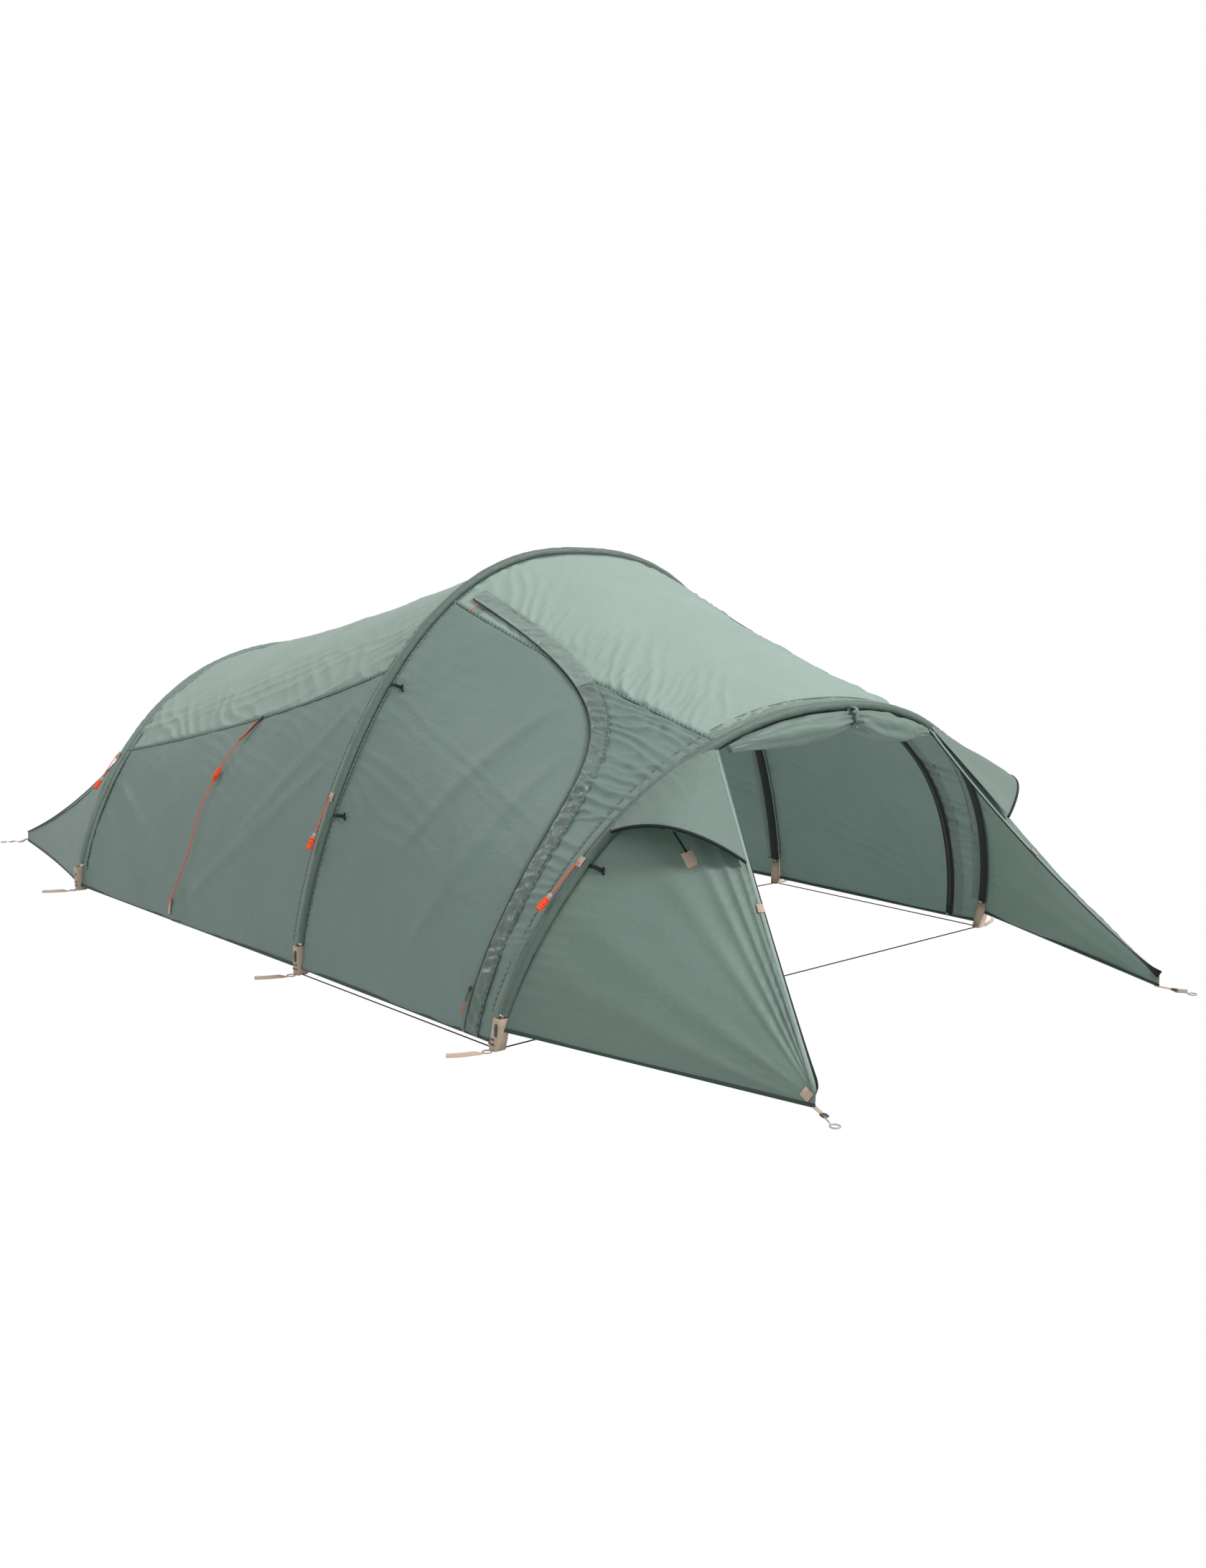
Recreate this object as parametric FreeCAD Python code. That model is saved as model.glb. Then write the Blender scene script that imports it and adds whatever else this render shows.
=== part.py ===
"""Tunnel tent, outer tent and hoops only, pitched with its front door rolled up.

Frame: millimetres, +X to the front door, +Y to the tent's left, +Z up. The origin is on
the ground under the tallest hoop, midway between that hoop's feet.
"""
import FreeCAD, Part
import math
import os
from FreeCAD import Vector

os.makedirs("parts", exist_ok=True)

# ---- driving dimensions -------------------------------------------------------------
# A hoop stands on two feet and leans: (foot_x, half_width, crown_x, height, side, top).
# Its outline is |y / half_width| ** side + |z / height| ** top = 1.
HOOPS = {
    "rear": (-1043.5, 1025.0, -1113.5, 850.0, 2.55, 1.45),
    "main": (441.5, 1000.0, 481.5, 1190.0, 2.45, 1.49),
    "front": (1326.5, 985.0, 1506.5, 778.0, 2.22, 1.71),
}
HOOP_STEPS = 400
POLE_R = 4.75
SLEEVE_R = 13.0
SLEEVE_WALL = 1.6
SLEEVE_FOOT = 96.0
SKIN = 3.0
SEAM_GAP = 0.8
HEM_Z = 18.0

TAIL_STAKE = (-2108.5, 815.0, 20.0)
WING_STAKE = (2081.5, 722.0, 14.0)
STAKE_EDGE = 32.0
SAG_HIGH = 0.022
SAG_WIDE = 0.020

REAR_SEAM = (0.180, 0.268)
TAIL_SEAM = 0.180
ROOF_SEAM = 0.352
WING_FOOT = 0.018
WING_TOP = 0.345

ZIP_FRONT = 0.865
ZIP_RAKE = 0.07
ZIP_LOW = 0.020
FLAP_WIDE = 52.0
FLAP_THICK = 2.0
CHAIN_WIDE = 12.0
CHAIN_THICK = 3.0

HOOD_START = 0.205
HOOD_EDGE = 0.375
HOOD_RISE = 92.0
HOOD_OUT = (0.42, -0.60, 0.68)
HOOD_LIFT = 17.0

POCKET = (26.0, 34.0, 84.0)
POCKET_WALL = 2.4
POCKET_Y = 6.0
RING_R = 13.0
RING_HOLE = 9.0
RING_THICK = 3.0
TAIL_WEB = (11.0, 1.8, 86.0)

PROP_AT = (0.218, 0.764)
PROP_R = 2.6
HOOD_SKIN = 2.0

ROLL = (0.352, 0.515, 0.655)
TIE_SHARE = 0.004
TIE_OUT = 38.0

BUCKLE = (19.0, 17.0, 4.0)
CORD_R = 1.5
GROUND_CORD_R = 1.75
CORD_GAP = 0.8

# Short guys on the hoops: the patch's and the winder's share of the hoop's length.
GUYS = {"main": (0.147, 0.116), "front": (0.176, 0.142), "rear": (0.170, 0.138)}
WINDER = (5.0, 16.0, 9.0, 34.0)

# Side guys: shares along and round the rear section, from the seam to the hem.
WALL_LIFT = 13.0
MIDDLE_UPPER = [(0.560, 0.222), (0.545, 0.208), (0.528, 0.195), (0.516, 0.181), (0.509, 0.168)]
MIDDLE_LOWER = [
    (0.504, 0.152), (0.500, 0.137), (0.497, 0.122), (0.501, 0.107), (0.507, 0.092),
    (0.509, 0.077), (0.504, 0.062), (0.497, 0.047), (0.486, 0.033), (0.470, 0.020),
]

# Zip slider: length, width, thickness and the pull's length, and its height off the cloth.
SLIDER = (14.0, 10.0, 5.0, 26.0)
SLIDER_LIFT = 7.0


# ---- curves and surfaces ------------------------------------------------------------
def mix(a, b, t):
    """The point a share t of the way from a to b."""
    return tuple(p + (q - p) * t for p, q in zip(a, b))


def add(a, b, scale=1.0):
    return tuple(p + q * scale for p, q in zip(a, b))


def cross(a, b):
    return (a[1] * b[2] - a[2] * b[1], a[2] * b[0] - a[0] * b[2], a[0] * b[1] - a[1] * b[0])


def length(a):
    return math.sqrt(sum(p * p for p in a))


def unit(a):
    size = length(a)
    return tuple(p / size for p in a)


def hoop_table(name):
    """Points along a hoop from its near foot to its far foot, with their share of its length."""
    foot_x, half, crown_x, high, side, top = HOOPS[name]
    points = []
    for i in range(HOOP_STEPS + 1):
        turn = math.pi * i / HOOP_STEPS
        c = math.cos(turn)
        up = max(math.sin(turn), 0.0) ** (2.0 / top)
        y = -half * math.copysign(abs(c) ** (2.0 / side), c)
        points.append((foot_x + (crown_x - foot_x) * up, y, high * up))
    walked = [0.0]
    for a, b in zip(points, points[1:]):
        walked.append(walked[-1] + length(add(b, a, -1.0)))
    return [w / walked[-1] for w in walked], points, walked[-1]


TABLES = {name: hoop_table(name) for name in HOOPS}


def hoop_point(name, u):
    """The hoop's centre line at the share u of its length: 0 is the near foot, 1 the far one."""
    shares, points, _ = TABLES[name]
    low, high = 0, len(shares) - 1
    while high - low > 1:
        half = (low + high) // 2
        if shares[half] <= u:
            low = half
        else:
            high = half
    return mix(points[low], points[high], (u - shares[low]) / (shares[high] - shares[low]))


def between(a, b, s, u):
    """The canopy between hoops a and b: straight lines, drawn in a little by the tension."""
    x, y, z = mix(hoop_point(a, u), hoop_point(b, u), s)
    high = HOOPS[a][3] * (1 - s) + HOOPS[b][3] * s
    pull = 4 * s * (1 - s)
    y *= 1 - SAG_WIDE * pull * min(1.0, 1.2 * z / high)
    return (x, y, z * (1 - SAG_HIGH * pull))


def rear_skin(s, u):
    return between("rear", "main", s, u)


def vestibule_skin(s, u):
    return between("main", "front", s, u)


def rear_seam(s):
    """Where the roof meets the near side wall behind the main hoop, as a share of the hoop."""
    return REAR_SEAM[0] + (REAR_SEAM[1] - REAR_SEAM[0]) * s


def tail_back(s, u):
    """The sloping end wall: from the rear hoop down to the hem between the two end stakes."""
    share = (u - TAIL_SEAM) / (1 - 2 * TAIL_SEAM)
    hem = 4 * share * (1 - share)
    end = (TAIL_STAKE[0] + 90.0 * hem, TAIL_STAKE[1] * (2 * share - 1), STAKE_EDGE + 10.0)
    x, y, z = mix(hoop_point("rear", u), end, s)
    pull = 4 * s * (1 - s)
    return (x, y, z - 34.0 * pull)


def tail_side(s, v):
    """The low triangle beside the rear hoop: v is 0 at the ground and 1 at the seam."""
    start = hoop_point("rear", TAIL_SEAM * v)
    end = (TAIL_STAKE[0], -TAIL_STAKE[1], TAIL_STAKE[2] - 12.0 + (STAKE_EDGE + 2.0) * v)
    x, y, z = mix(start, end, s)
    pull = 4 * s * (1 - s)
    return (x, y * (1 - 0.012 * pull), z - 34.0 * pull * v * v)


def wing(s, v):
    """A front wing: from the front hoop's leg to its stake, v is 0 at the hem, 1 at the door."""
    start = hoop_point("front", WING_FOOT + (WING_TOP - WING_FOOT) * v)
    end = (WING_STAKE[0], -WING_STAKE[1], WING_STAKE[2] + STAKE_EDGE * v)
    x, y, z = mix(start, end, s)
    pull = 4 * s * (1 - s)
    return (x - 10.0 * pull * v, y + 14.0 * pull * v, z - 20.0 * pull * v)


def hood(a, b):
    """A vent hood: b is 0 on the hoop's sleeve and 1 on the stiff hem, a runs to the door edge."""
    root = hoop_point("front", HOOD_START + (WING_TOP - HOOD_START) * a)
    corner = wing(HOOD_EDGE, 1.0)
    hem = mix(hoop_point("front", HOOD_START), corner, a)
    out = unit(HOOD_OUT)
    hem = add(hem, out, HOOD_RISE * math.sin(math.pi * a) ** 0.8)
    swell = 10.0 * math.sin(math.pi * b) * math.sin(math.pi * a)
    return add(mix(root, hem, b), out, HOOD_LIFT + swell)


def zip_share(u):
    """How far forward the side door's zip lies at the share u of the hoops."""
    r = min(u / 0.357, 1.0)
    return ZIP_FRONT * (1 - ZIP_RAKE * r) * (1 - r ** 6) ** 0.4


def zip_curve(count):
    """The side door's zip from the ground up and back to the main hoop, evenly spaced."""
    raw = []
    for i in range(241):
        turn = math.radians(88.0) * (i / 240) ** 3
        r = max(math.sin(turn), 1e-6) ** (1 / 3.0)
        u = 0.357 * r
        if u < ZIP_LOW:
            continue
        s = ZIP_FRONT * (1 - ZIP_RAKE * r) * math.cos(turn) ** 0.8
        if s < 0.045:
            break
        raw.append((s, u))
    points = [vestibule_skin(s, u) for s, u in raw]
    walked = [0.0]
    for a, b in zip(points, points[1:]):
        walked.append(walked[-1] + length(add(b, a, -1.0)))
    found = []
    j = 0
    for i in range(count):
        want = walked[-1] * i / (count - 1)
        while j < len(walked) - 2 and walked[j + 1] < want:
            j += 1
        t = (want - walked[j]) / (walked[j + 1] - walked[j])
        found.append(mix(raw[j], raw[j + 1], t))
    return found


def normal_at(skin, s, u, side=1.0):
    """The skin's outward unit normal."""
    d = 1e-3
    along = add(skin(s + d, u), skin(s - d, u), -1.0)
    round_ = add(skin(s, u + d), skin(s, u - d), -1.0)
    return unit(tuple(side * p for p in cross(round_, along)))


ZIP_STEPS = 25


def ribbon_frames(count=ZIP_STEPS):
    """Points of the zip with the skin's normal and the direction across, away from the door."""
    shares = zip_curve(count)
    places = [vestibule_skin(s, u) for s, u in shares]
    frames = []
    for i, (s, u) in enumerate(shares):
        a = places[max(i - 1, 0)]
        b = places[min(i + 1, count - 1)]
        forward = unit(add(b, a, -1.0))
        out = normal_at(vestibule_skin, s, u, -1.0)
        frames.append((places[i], out, unit(cross(forward, out))))
    return frames


# ---- solids -------------------------------------------------------------------------
def vectors(points):
    return [Vector(*p) for p in points]


def mirrored(shape):
    return shape.mirror(Vector(0, 0, 0), Vector(0, 1, 0))


def surface_of(rows):
    surface = Part.BSplineSurface()
    surface.interpolate([vectors(row) for row in rows])
    return surface


def solid_between(outer, inner):
    """The closed solid between two grids of points with the same number of rows and columns."""
    one, other = surface_of(outer), surface_of(inner)
    faces = [one.toShape(), other.toShape()]
    for pick in ("u_low", "u_high", "v_low", "v_high"):
        edges = []
        for surface in (one, other):
            u0, u1, v0, v1 = surface.bounds()
            curve = {
                "u_low": lambda: surface.uIso(u0),
                "u_high": lambda: surface.uIso(u1),
                "v_low": lambda: surface.vIso(v0),
                "v_high": lambda: surface.vIso(v1),
            }[pick]()
            edges.append(curve.toShape())
        faces.append(Part.makeRuledSurface(edges[0], edges[1]))
    shell = Part.Shell(faces)
    shell.sewShape()
    solid = Part.Solid(shell)
    if solid.Volume < 0:
        solid.reverse()
    return solid


def skin_solid(place, s_range, u_range, rows, columns, thick=SKIN, lift=0.0):
    """A panel: place(i, j) is a point of its outer face for shares i, j; the wall goes inwards."""
    outer, inner = [], []
    for i in range(rows):
        p = s_range[0] + (s_range[1] - s_range[0]) * i / (rows - 1)
        outer_row, inner_row = [], []
        for j in range(columns):
            q = u_range[0] + (u_range[1] - u_range[0]) * j / (columns - 1)
            at = place(p, q)
            d = 2e-3
            along = add(place(p + d, q), place(p - d, q), -1.0)
            round_ = add(place(p, q + d), place(p, q - d), -1.0)
            out = unit(cross(along, round_))
            outer_row.append(add(at, out, lift))
            inner_row.append(add(at, out, lift - thick))
        outer.append(outer_row)
        inner.append(inner_row)
    return solid_between(outer, inner)


def tube(points, radius):
    """A round bar along a smooth curve through the points."""
    curve = Part.BSplineCurve()
    curve.interpolate(vectors(points))
    edge = curve.toShape()
    start = curve.value(curve.FirstParameter)
    way = curve.tangent(curve.FirstParameter)[0]
    circle = Part.Wire([Part.makeCircle(radius, start, way)])
    return Part.Wire([edge]).makePipeShell([circle], True, True)


def hoop_line(name, low, high, count=33, shift=(0.0, 0.0, 0.0)):
    """Points of a hoop between two shares of its length."""
    shares = [low + (high - low) * i / (count - 1) for i in range(count)]
    return [add(hoop_point(name, u), shift) for u in shares]


def share_at_height(name, height):
    """The share of the hoop's length, on the near leg, at which it reaches this height."""
    low, high = 0.0, 0.5
    for _ in range(40):
        half = (low + high) / 2
        if hoop_point(name, half)[2] < height:
            low = half
        else:
            high = half
    return low


def pole(name):
    low = share_at_height(name, 5.0)
    return tube(hoop_line(name, low, 1 - low), POLE_R)


def sleeve(name):
    low = share_at_height(name, SLEEVE_FOOT)
    line = hoop_line(name, low, 1 - low)
    return tube(line, SLEEVE_R).cut(tube(line, SLEEVE_R - SLEEVE_WALL))


def joined_span(a, b, s):
    """s kept clear of both hoops' sleeves."""
    reach = abs(HOOPS[b][0] - HOOPS[a][0])
    clear = (SLEEVE_R + 1.5) / (reach * 0.93)
    return clear + (1 - 2 * clear) * s


def edge_shift(skin, a, b):
    """A panel between hoops a and b whose shares run from sleeve to sleeve."""
    return lambda s, u: skin(joined_span(a, b, s), u)


def box(low, high):
    size = [q - p for p, q in zip(low, high)]
    return Part.makeBox(size[0], size[1], size[2], Vector(*low))


def export(name, *solids):
    shape = solids[0] if len(solids) == 1 else Part.makeCompound(list(solids))
    for solid in solids:
        if not solid.isValid() or solid.Volume <= 0:
            print("CHECK", name, solid.isValid(), solid.Volume)
    shape.exportStep("parts/" + name + ".step")
    print(name, round(shape.Volume / 1000.0, 1), "cm3")


def export_both(name, make):
    """The near piece and its mirror image."""
    near = make()
    export("near_" + name, near)
    export("far_" + name, mirrored(near))


# ---- hoops and sleeves --------------------------------------------------------------
def make_hoops():
    for name in HOOPS:
        export(name + "_hoop", pole(name))
        export(name + "_sleeve", sleeve(name))


# ---- canopy -------------------------------------------------------------------------
def hem_share(name):
    return share_at_height(name, HEM_Z)


def make_rear_section():
    skin = edge_shift(rear_skin, "rear", "main")
    gap = SEAM_GAP / TABLES["main"][2]
    low = hem_share("main")

    def side(s, v):
        top = rear_seam(joined_span("rear", "main", s)) - gap
        return skin(s, low + (top - low) * v)

    def roof(s, v):
        edge = rear_seam(joined_span("rear", "main", s)) + gap
        return skin(s, edge + (1 - 2 * edge) * v)

    export_both("rear_wall", lambda: skin_solid(side, (0, 1), (0, 1), 7, 7, SKIN, SKIN / 2))
    export("rear_roof", skin_solid(roof, (0, 1), (0, 1), 7, 13, SKIN, SKIN / 2))


def make_tail():
    def flat(shape):
        return lambda s, v: shape(0.0165 + (0.995 - 0.0165) * s, v)

    low = hem_share("rear") / TAIL_SEAM
    back = flat(tail_back)
    side = flat(tail_side)
    wall = skin_solid(side, (1, 0), (low, 0.985), 7, 6, SKIN, SKIN / 2)
    export("near_tail_wall", wall)
    export("far_tail_wall", mirrored(wall))
    edge = TAIL_SEAM + 0.002
    export("tail_roof", skin_solid(back, (1, 0), (edge, 1 - edge), 7, 13, SKIN, SKIN / 2))


def make_vestibule():
    skin = edge_shift(vestibule_skin, "main", "front")
    gap = SEAM_GAP / TABLES["main"][2]
    low = hem_share("main")
    top = ROOF_SEAM - 0.006
    split = 3.0 / ((HOOPS["front"][0] - HOOPS["main"][0]) * 0.93)

    def door(s, v):
        u = low + (top - low) * v
        return skin(s * (zip_share(u) - split), u)

    def strip(s, v):
        u = low + (top - low) * v
        start = zip_share(u) + split
        return skin(start + (1 - start) * s, u)

    def roof(s, v):
        edge = ROOF_SEAM - 0.006 + 2 * gap
        return skin(s, edge + (1 - 2 * edge) * v)

    export_both("door", lambda: skin_solid(door, (0, 1), (0, 1), 7, 11, SKIN, SKIN / 2))
    export_both("door_strip", lambda: skin_solid(strip, (0, 1), (0, 1), 6, 11, SKIN, SKIN / 2))
    export("vestibule_roof", skin_solid(roof, (0, 1), (0, 1), 7, 11, SKIN, SKIN / 2))


def ribbon(frames, wide, low, high):
    """A flat band along the zip: wide is (from, to) across it, low and high its two faces."""
    def face(lift):
        rows = []
        for place, out, across in frames:
            row = []
            for k in range(4):
                shift = wide[0] + (wide[1] - wide[0]) * k / 3
                row.append(add(add(place, across, shift), out, lift))
            rows.append(row)
        return rows
    return solid_between(face(high), face(low))


def make_door_trim():
    frames = ribbon_frames()
    base = SKIN / 2
    export_both("storm_flap", lambda: ribbon(frames, (2.0, FLAP_WIDE), base + 2.6, base + 2.6 + FLAP_THICK))
    inside = -base - 1.0
    near = ribbon(frames, (-CHAIN_WIDE / 2, CHAIN_WIDE / 2), inside - CHAIN_THICK, inside)
    export("side_zips", near, mirrored(near))


# ---- front wings and vent hoods -----------------------------------------------------
def hood_middle():
    """The middle of a hood's stiff hem, where its prop stands."""
    return add(hood(0.5, 1.0), unit(HOOD_OUT), -6.0)


def prop_foot():
    """Where the prop is pivoted on the wing, just clear of the cloth."""
    return add(wing(*PROP_AT), unit(HOOD_OUT), 6.0)


def make_prop():
    foot, top = prop_foot(), hood_middle()
    way = unit(add(top, foot, -1.0))
    stem = length(add(top, foot, -1.0)) - 4.0
    bar = Part.makeCylinder(PROP_R, stem, Vector(*foot), Vector(*way))
    knob = Part.makeSphere(PROP_R + 1.2, Vector(*foot))
    return bar.fuse(knob)


def make_wings():
    reach = length(add(wing(1.0, 0.5), wing(0.0, 0.5), -1.0))
    first = (SLEEVE_R + 2.5) / (reach * 0.88)
    export_both("wing", lambda: skin_solid(
        lambda s, v: wing(first + (1 - first) * s, v), (0, 1), (0, 1), 9, 9, SKIN, SKIN / 2))
    export_both("vent_hood", lambda: skin_solid(hood, (0.06, 0.97), (0, 1), 11, 6, HOOD_SKIN))
    export_both("vent_prop", make_prop)


# ---- rolled front door --------------------------------------------------------------
def rolled(u_low, u_high, radii):
    """A bundle of rolled cloth hung under the front hoop, round in section."""
    sections = []
    for i, r in enumerate(radii):
        u = u_low + (u_high - u_low) * i / (len(radii) - 1)
        top = hoop_point("front", u)
        ahead = hoop_point("front", u + 1e-3)
        way = unit(add(ahead, top, -1.0))
        down = unit(cross(way, (1.0, 0.0, 0.22)))
        if down[2] > 0:
            down = tuple(-p for p in down)
        at = add(add(top, down, SLEEVE_R + 2.0 + r), (1.0, 0.0, 0.0), 8.0)
        sections.append(Part.Wire([Part.makeCircle(r, Vector(*at), Vector(*way))]))
    return Part.makeLoft(sections, True, False)


def tie_place():
    """The middle of the toggle that holds the rolled door up, ahead of the front hoop."""
    x, y, z = hoop_point("front", ROLL[1])
    return (x + SLEEVE_R + 0.6 + TIE_OUT, y, z - 40.0)


def make_rolled_door():
    near = rolled(ROLL[0], ROLL[1] - TIE_SHARE, (11.0, 24.0, 33.0, 36.0, 34.0, 22.0))
    far = rolled(ROLL[1] + TIE_SHARE, ROLL[2], (22.0, 36.0, 41.0, 38.0, 25.0, 12.0))
    export("rolled_door", near, far)
    x, y, z = tie_place()
    hook = box((x - TIE_OUT, y - 7.0, z + 36.0), (x - 6.0, y + 7.0, z + 38.0))
    drop = box((x - 8.0, y - 7.0, z - 14.0), (x - 6.0, y + 7.0, z + 37.0))
    export("door_tie", hook.fuse(drop))
    toggle = Part.makeCylinder(4.5, 34.0, Vector(x, y - 17.0, z), Vector(0, 1, 0))
    export("tie_toggle", toggle)


# ---- feet ---------------------------------------------------------------------------
def leaning_block(name, inset, low, high):
    """A four-sided block round the near foot of a hoop, leaning fore and aft with the pole."""
    x, half = HOOPS[name][0], HOOPS[name][1]
    wide, deep, top = POCKET
    lean = (hoop_point(name, share_at_height(name, top))[0] - x) / top
    y = POCKET_Y - half
    rings = []
    for z in (low, high):
        left, right = x + lean * z - wide / 2 + inset, x + lean * z + wide / 2 - inset
        near, far = y - deep / 2 + inset, y + deep / 2 - inset
        corners = [(left, near, z), (right, near, z), (right, far, z), (left, far, z)]
        rings.append(Part.makePolygon(vectors(corners + corners[:1])))
    return Part.makeLoft(rings, True, True)


def foot(name):
    """The near foot of a hoop: webbing pocket, flat ring for a peg and the tensioning tail."""
    x = HOOPS[name][0]
    high = POCKET[2]
    outer = leaning_block(name, 0.0, 0.0, high)
    inner = leaning_block(name, POCKET_WALL, POCKET_WALL, high + 1)
    ring_y = POCKET_Y - HOOPS[name][1] - POCKET[1] / 2 - RING_R
    ring = Part.makeCylinder(RING_R, RING_THICK, Vector(x, ring_y, 0))
    ring = ring.cut(Part.makeCylinder(RING_HOLE, RING_THICK + 2, Vector(x, ring_y, -1)))
    tail_y = ring_y - RING_R - 0.5
    tail = box((x - TAIL_WEB[0] / 2, tail_y - TAIL_WEB[2], 0), (x + TAIL_WEB[0] / 2, tail_y, TAIL_WEB[1]))
    return [outer.cut(inner), ring, tail]


def make_feet():
    for name in HOOPS:
        near = foot(name)
        export(name + "_feet", *near, *[mirrored(piece) for piece in near])


# ---- stake points -------------------------------------------------------------------
def flat_bar(start, way, wide, low, high, long):
    """A flat strip on the ground plane from a start point along a direction."""
    bar = box((0, -wide / 2, low), (long, wide / 2, high))
    bar.rotate(Vector(0, 0, 0), Vector(0, 0, 1), math.degrees(math.atan2(way[1], way[0])))
    bar.translate(Vector(start[0], start[1], 0))
    return bar


def along(start, way, far):
    return (start[0] + way[0] * far, start[1] + way[1] * far)


WING_WAY = unit((0.93, -0.37, 0.0))
TAIL_WAY = unit((-0.55, -0.83, 0.0))


def make_stakes():
    apex = (WING_STAKE[0], -WING_STAKE[1])
    strap_start = along(apex, WING_WAY, 3.0)
    strap = flat_bar(strap_start, WING_WAY, TAIL_WEB[0], 8.0, 8.0 + TAIL_WEB[1], 26.0)
    ring_at = along(apex, WING_WAY, 86.0)
    tail = flat_bar(along(apex, WING_WAY, 34.0), WING_WAY, TAIL_WEB[0], 0.0, TAIL_WEB[1], 38.0)
    ring = Part.makeCylinder(RING_R, RING_THICK, Vector(ring_at[0], ring_at[1], 0))
    ring = ring.cut(Part.makeCylinder(RING_HOLE, 9, Vector(ring_at[0], ring_at[1], -1)))
    near = [strap, tail, ring]
    export("wing_straps", *near, *[mirrored(piece) for piece in near])

    buckle_at = along(apex, WING_WAY, 30.5)
    frame = flat_bar(buckle_at, WING_WAY, BUCKLE[1], 6.0, 6.0 + BUCKLE[2], BUCKLE[0])
    for k in range(2):
        slot_at = along(buckle_at, WING_WAY, 4.0 + 8.0 * k)
        frame = frame.cut(flat_bar(slot_at, WING_WAY, BUCKLE[1] - 5.0, 5.0, 12.0, 3.5))
    export("near_buckle", frame)
    export("far_buckle", mirrored(frame))

    corner = (TAIL_STAKE[0], -TAIL_STAKE[1])
    web = flat_bar(along(corner, TAIL_WAY, 4.0), TAIL_WAY, TAIL_WEB[0], 0.0, TAIL_WEB[1], 78.0)
    peg_at = along(corner, TAIL_WAY, 96.0)
    eye = Part.makeCylinder(RING_R, RING_THICK, Vector(peg_at[0], peg_at[1], 0))
    eye = eye.cut(Part.makeCylinder(RING_HOLE, 9, Vector(peg_at[0], peg_at[1], -1)))
    near = [web, eye]
    export("tail_straps", *near, *[mirrored(piece) for piece in near])


# ---- cords --------------------------------------------------------------------------
def rounded_path(name, points, radius):
    """Straight runs joined by tangent arcs; prints the arcs' radii in cord diameters."""
    here = vectors(points)
    edges = []
    start = here[0]
    radii = []
    for before, corner, after in zip(here, here[1:], here[2:]):
        back, ahead = before - corner, after - corner
        turn = math.pi - back.getAngle(ahead)
        trim = 0.45 * min(back.Length, ahead.Length)
        first = corner + back.normalize() * trim
        last = corner + ahead.normalize() * trim
        bend = trim / math.tan(turn / 2)
        radii.append(bend / (2 * radius))
        way = (first + last) * 0.5 - corner
        reach = way.Length
        centre_far = math.hypot(bend, trim)
        middle = corner + way * ((centre_far - bend) / reach)
        edges.append(Part.LineSegment(start, first).toShape())
        edges.append(Part.Arc(first, middle, last).toShape())
        start = last
    edges.append(Part.LineSegment(start, here[-1]).toShape())
    if radii:
        print(name, "smallest radius in diameters", round(min(radii), 1))
    return Part.Wire(edges), here[1] - here[0]


def cord(name, points, radius=CORD_R):
    path, way = rounded_path(name, points, radius)
    circle = Part.Wire([Part.makeCircle(radius, path.Vertexes[0].Point, way)])
    solid = path.makePipeShell([circle], True, True)
    want = math.pi * radius ** 2 * path.Length
    if abs(solid.Volume / want - 1) > 0.02:
        print("CHECK", name, "volume", solid.Volume / want)
    return solid


def make_ground_cords():
    rise = GROUND_CORD_R
    reach = POCKET[1] / 2 + POCKET_Y + CORD_GAP
    for name, hoop in HOOPS.items():
        y = hoop[1] - reach
        points = [(hoop[0], -y, rise), (hoop[0], y, rise)]
        export(name + "_cross_cord", cord(name + "_cross_cord", points, GROUND_CORD_R))
    gap = POCKET[0] / 2 + CORD_GAP
    points = [(HOOPS["main"][0] + gap, POCKET_Y - HOOPS["main"][1], rise),
              (HOOPS["front"][0] - gap, POCKET_Y - HOOPS["front"][1], rise)]
    side = cord("side_cord", points, GROUND_CORD_R)
    export("near_side_cord", side)
    export("far_side_cord", mirrored(side))


def hoop_out(name, u):
    """A unit vector square to the near leg of a hoop, pointing away from the tent."""
    ahead = unit(add(hoop_point(name, u + 1e-3), hoop_point(name, u - 1e-3), -1.0))
    return unit(cross(ahead, (1.0, 0.0, 0.0))) if ahead[2] < 0 else unit(cross((1.0, 0.0, 0.0), ahead))


def guy_place(name, u, rearward, lift):
    out = hoop_out(name, u)
    if out[1] > 0:
        out = tuple(-p for p in out)
    return add(add(hoop_point(name, u), out, lift), (-1.0, 0.0, 0.0), rearward)


def guy_points(name):
    """Three points of the short cord from the hoop's patch down to its winder."""
    top, bottom = GUYS[name]
    share = (top, top - (top - bottom) * 0.48, bottom)
    lift = (SLEEVE_R + 6.0, SLEEVE_R + 9.0, SLEEVE_R + 13.0)
    back = (3.0, 7.0, 9.0)
    return [guy_place(name, u, r, h) for u, r, h in zip(share, back, lift)]


def make_guys():
    for name in GUYS:
        points = guy_points(name)
        line = cord(name + "_guy_cord", points)
        way = unit(add(points[2], points[1], -1.0))
        cleat = Part.makeCylinder(WINDER[0], WINDER[1], Vector(*points[2]), Vector(*way))
        start = add(points[2], way, WINDER[1])
        hank = Part.makeCylinder(WINDER[2], WINDER[3], Vector(*start), Vector(*way))
        export("near_" + name + "_guy_cord", line)
        export("far_" + name + "_guy_cord", mirrored(line))
        winder = cleat.fuse(hank)
        export("near_" + name + "_winder", winder)
        export("far_" + name + "_winder", mirrored(winder))


def on_wall(s, u, lift):
    return add(rear_skin(s, u), normal_at(rear_skin, s, u, -1.0), lift)


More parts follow.
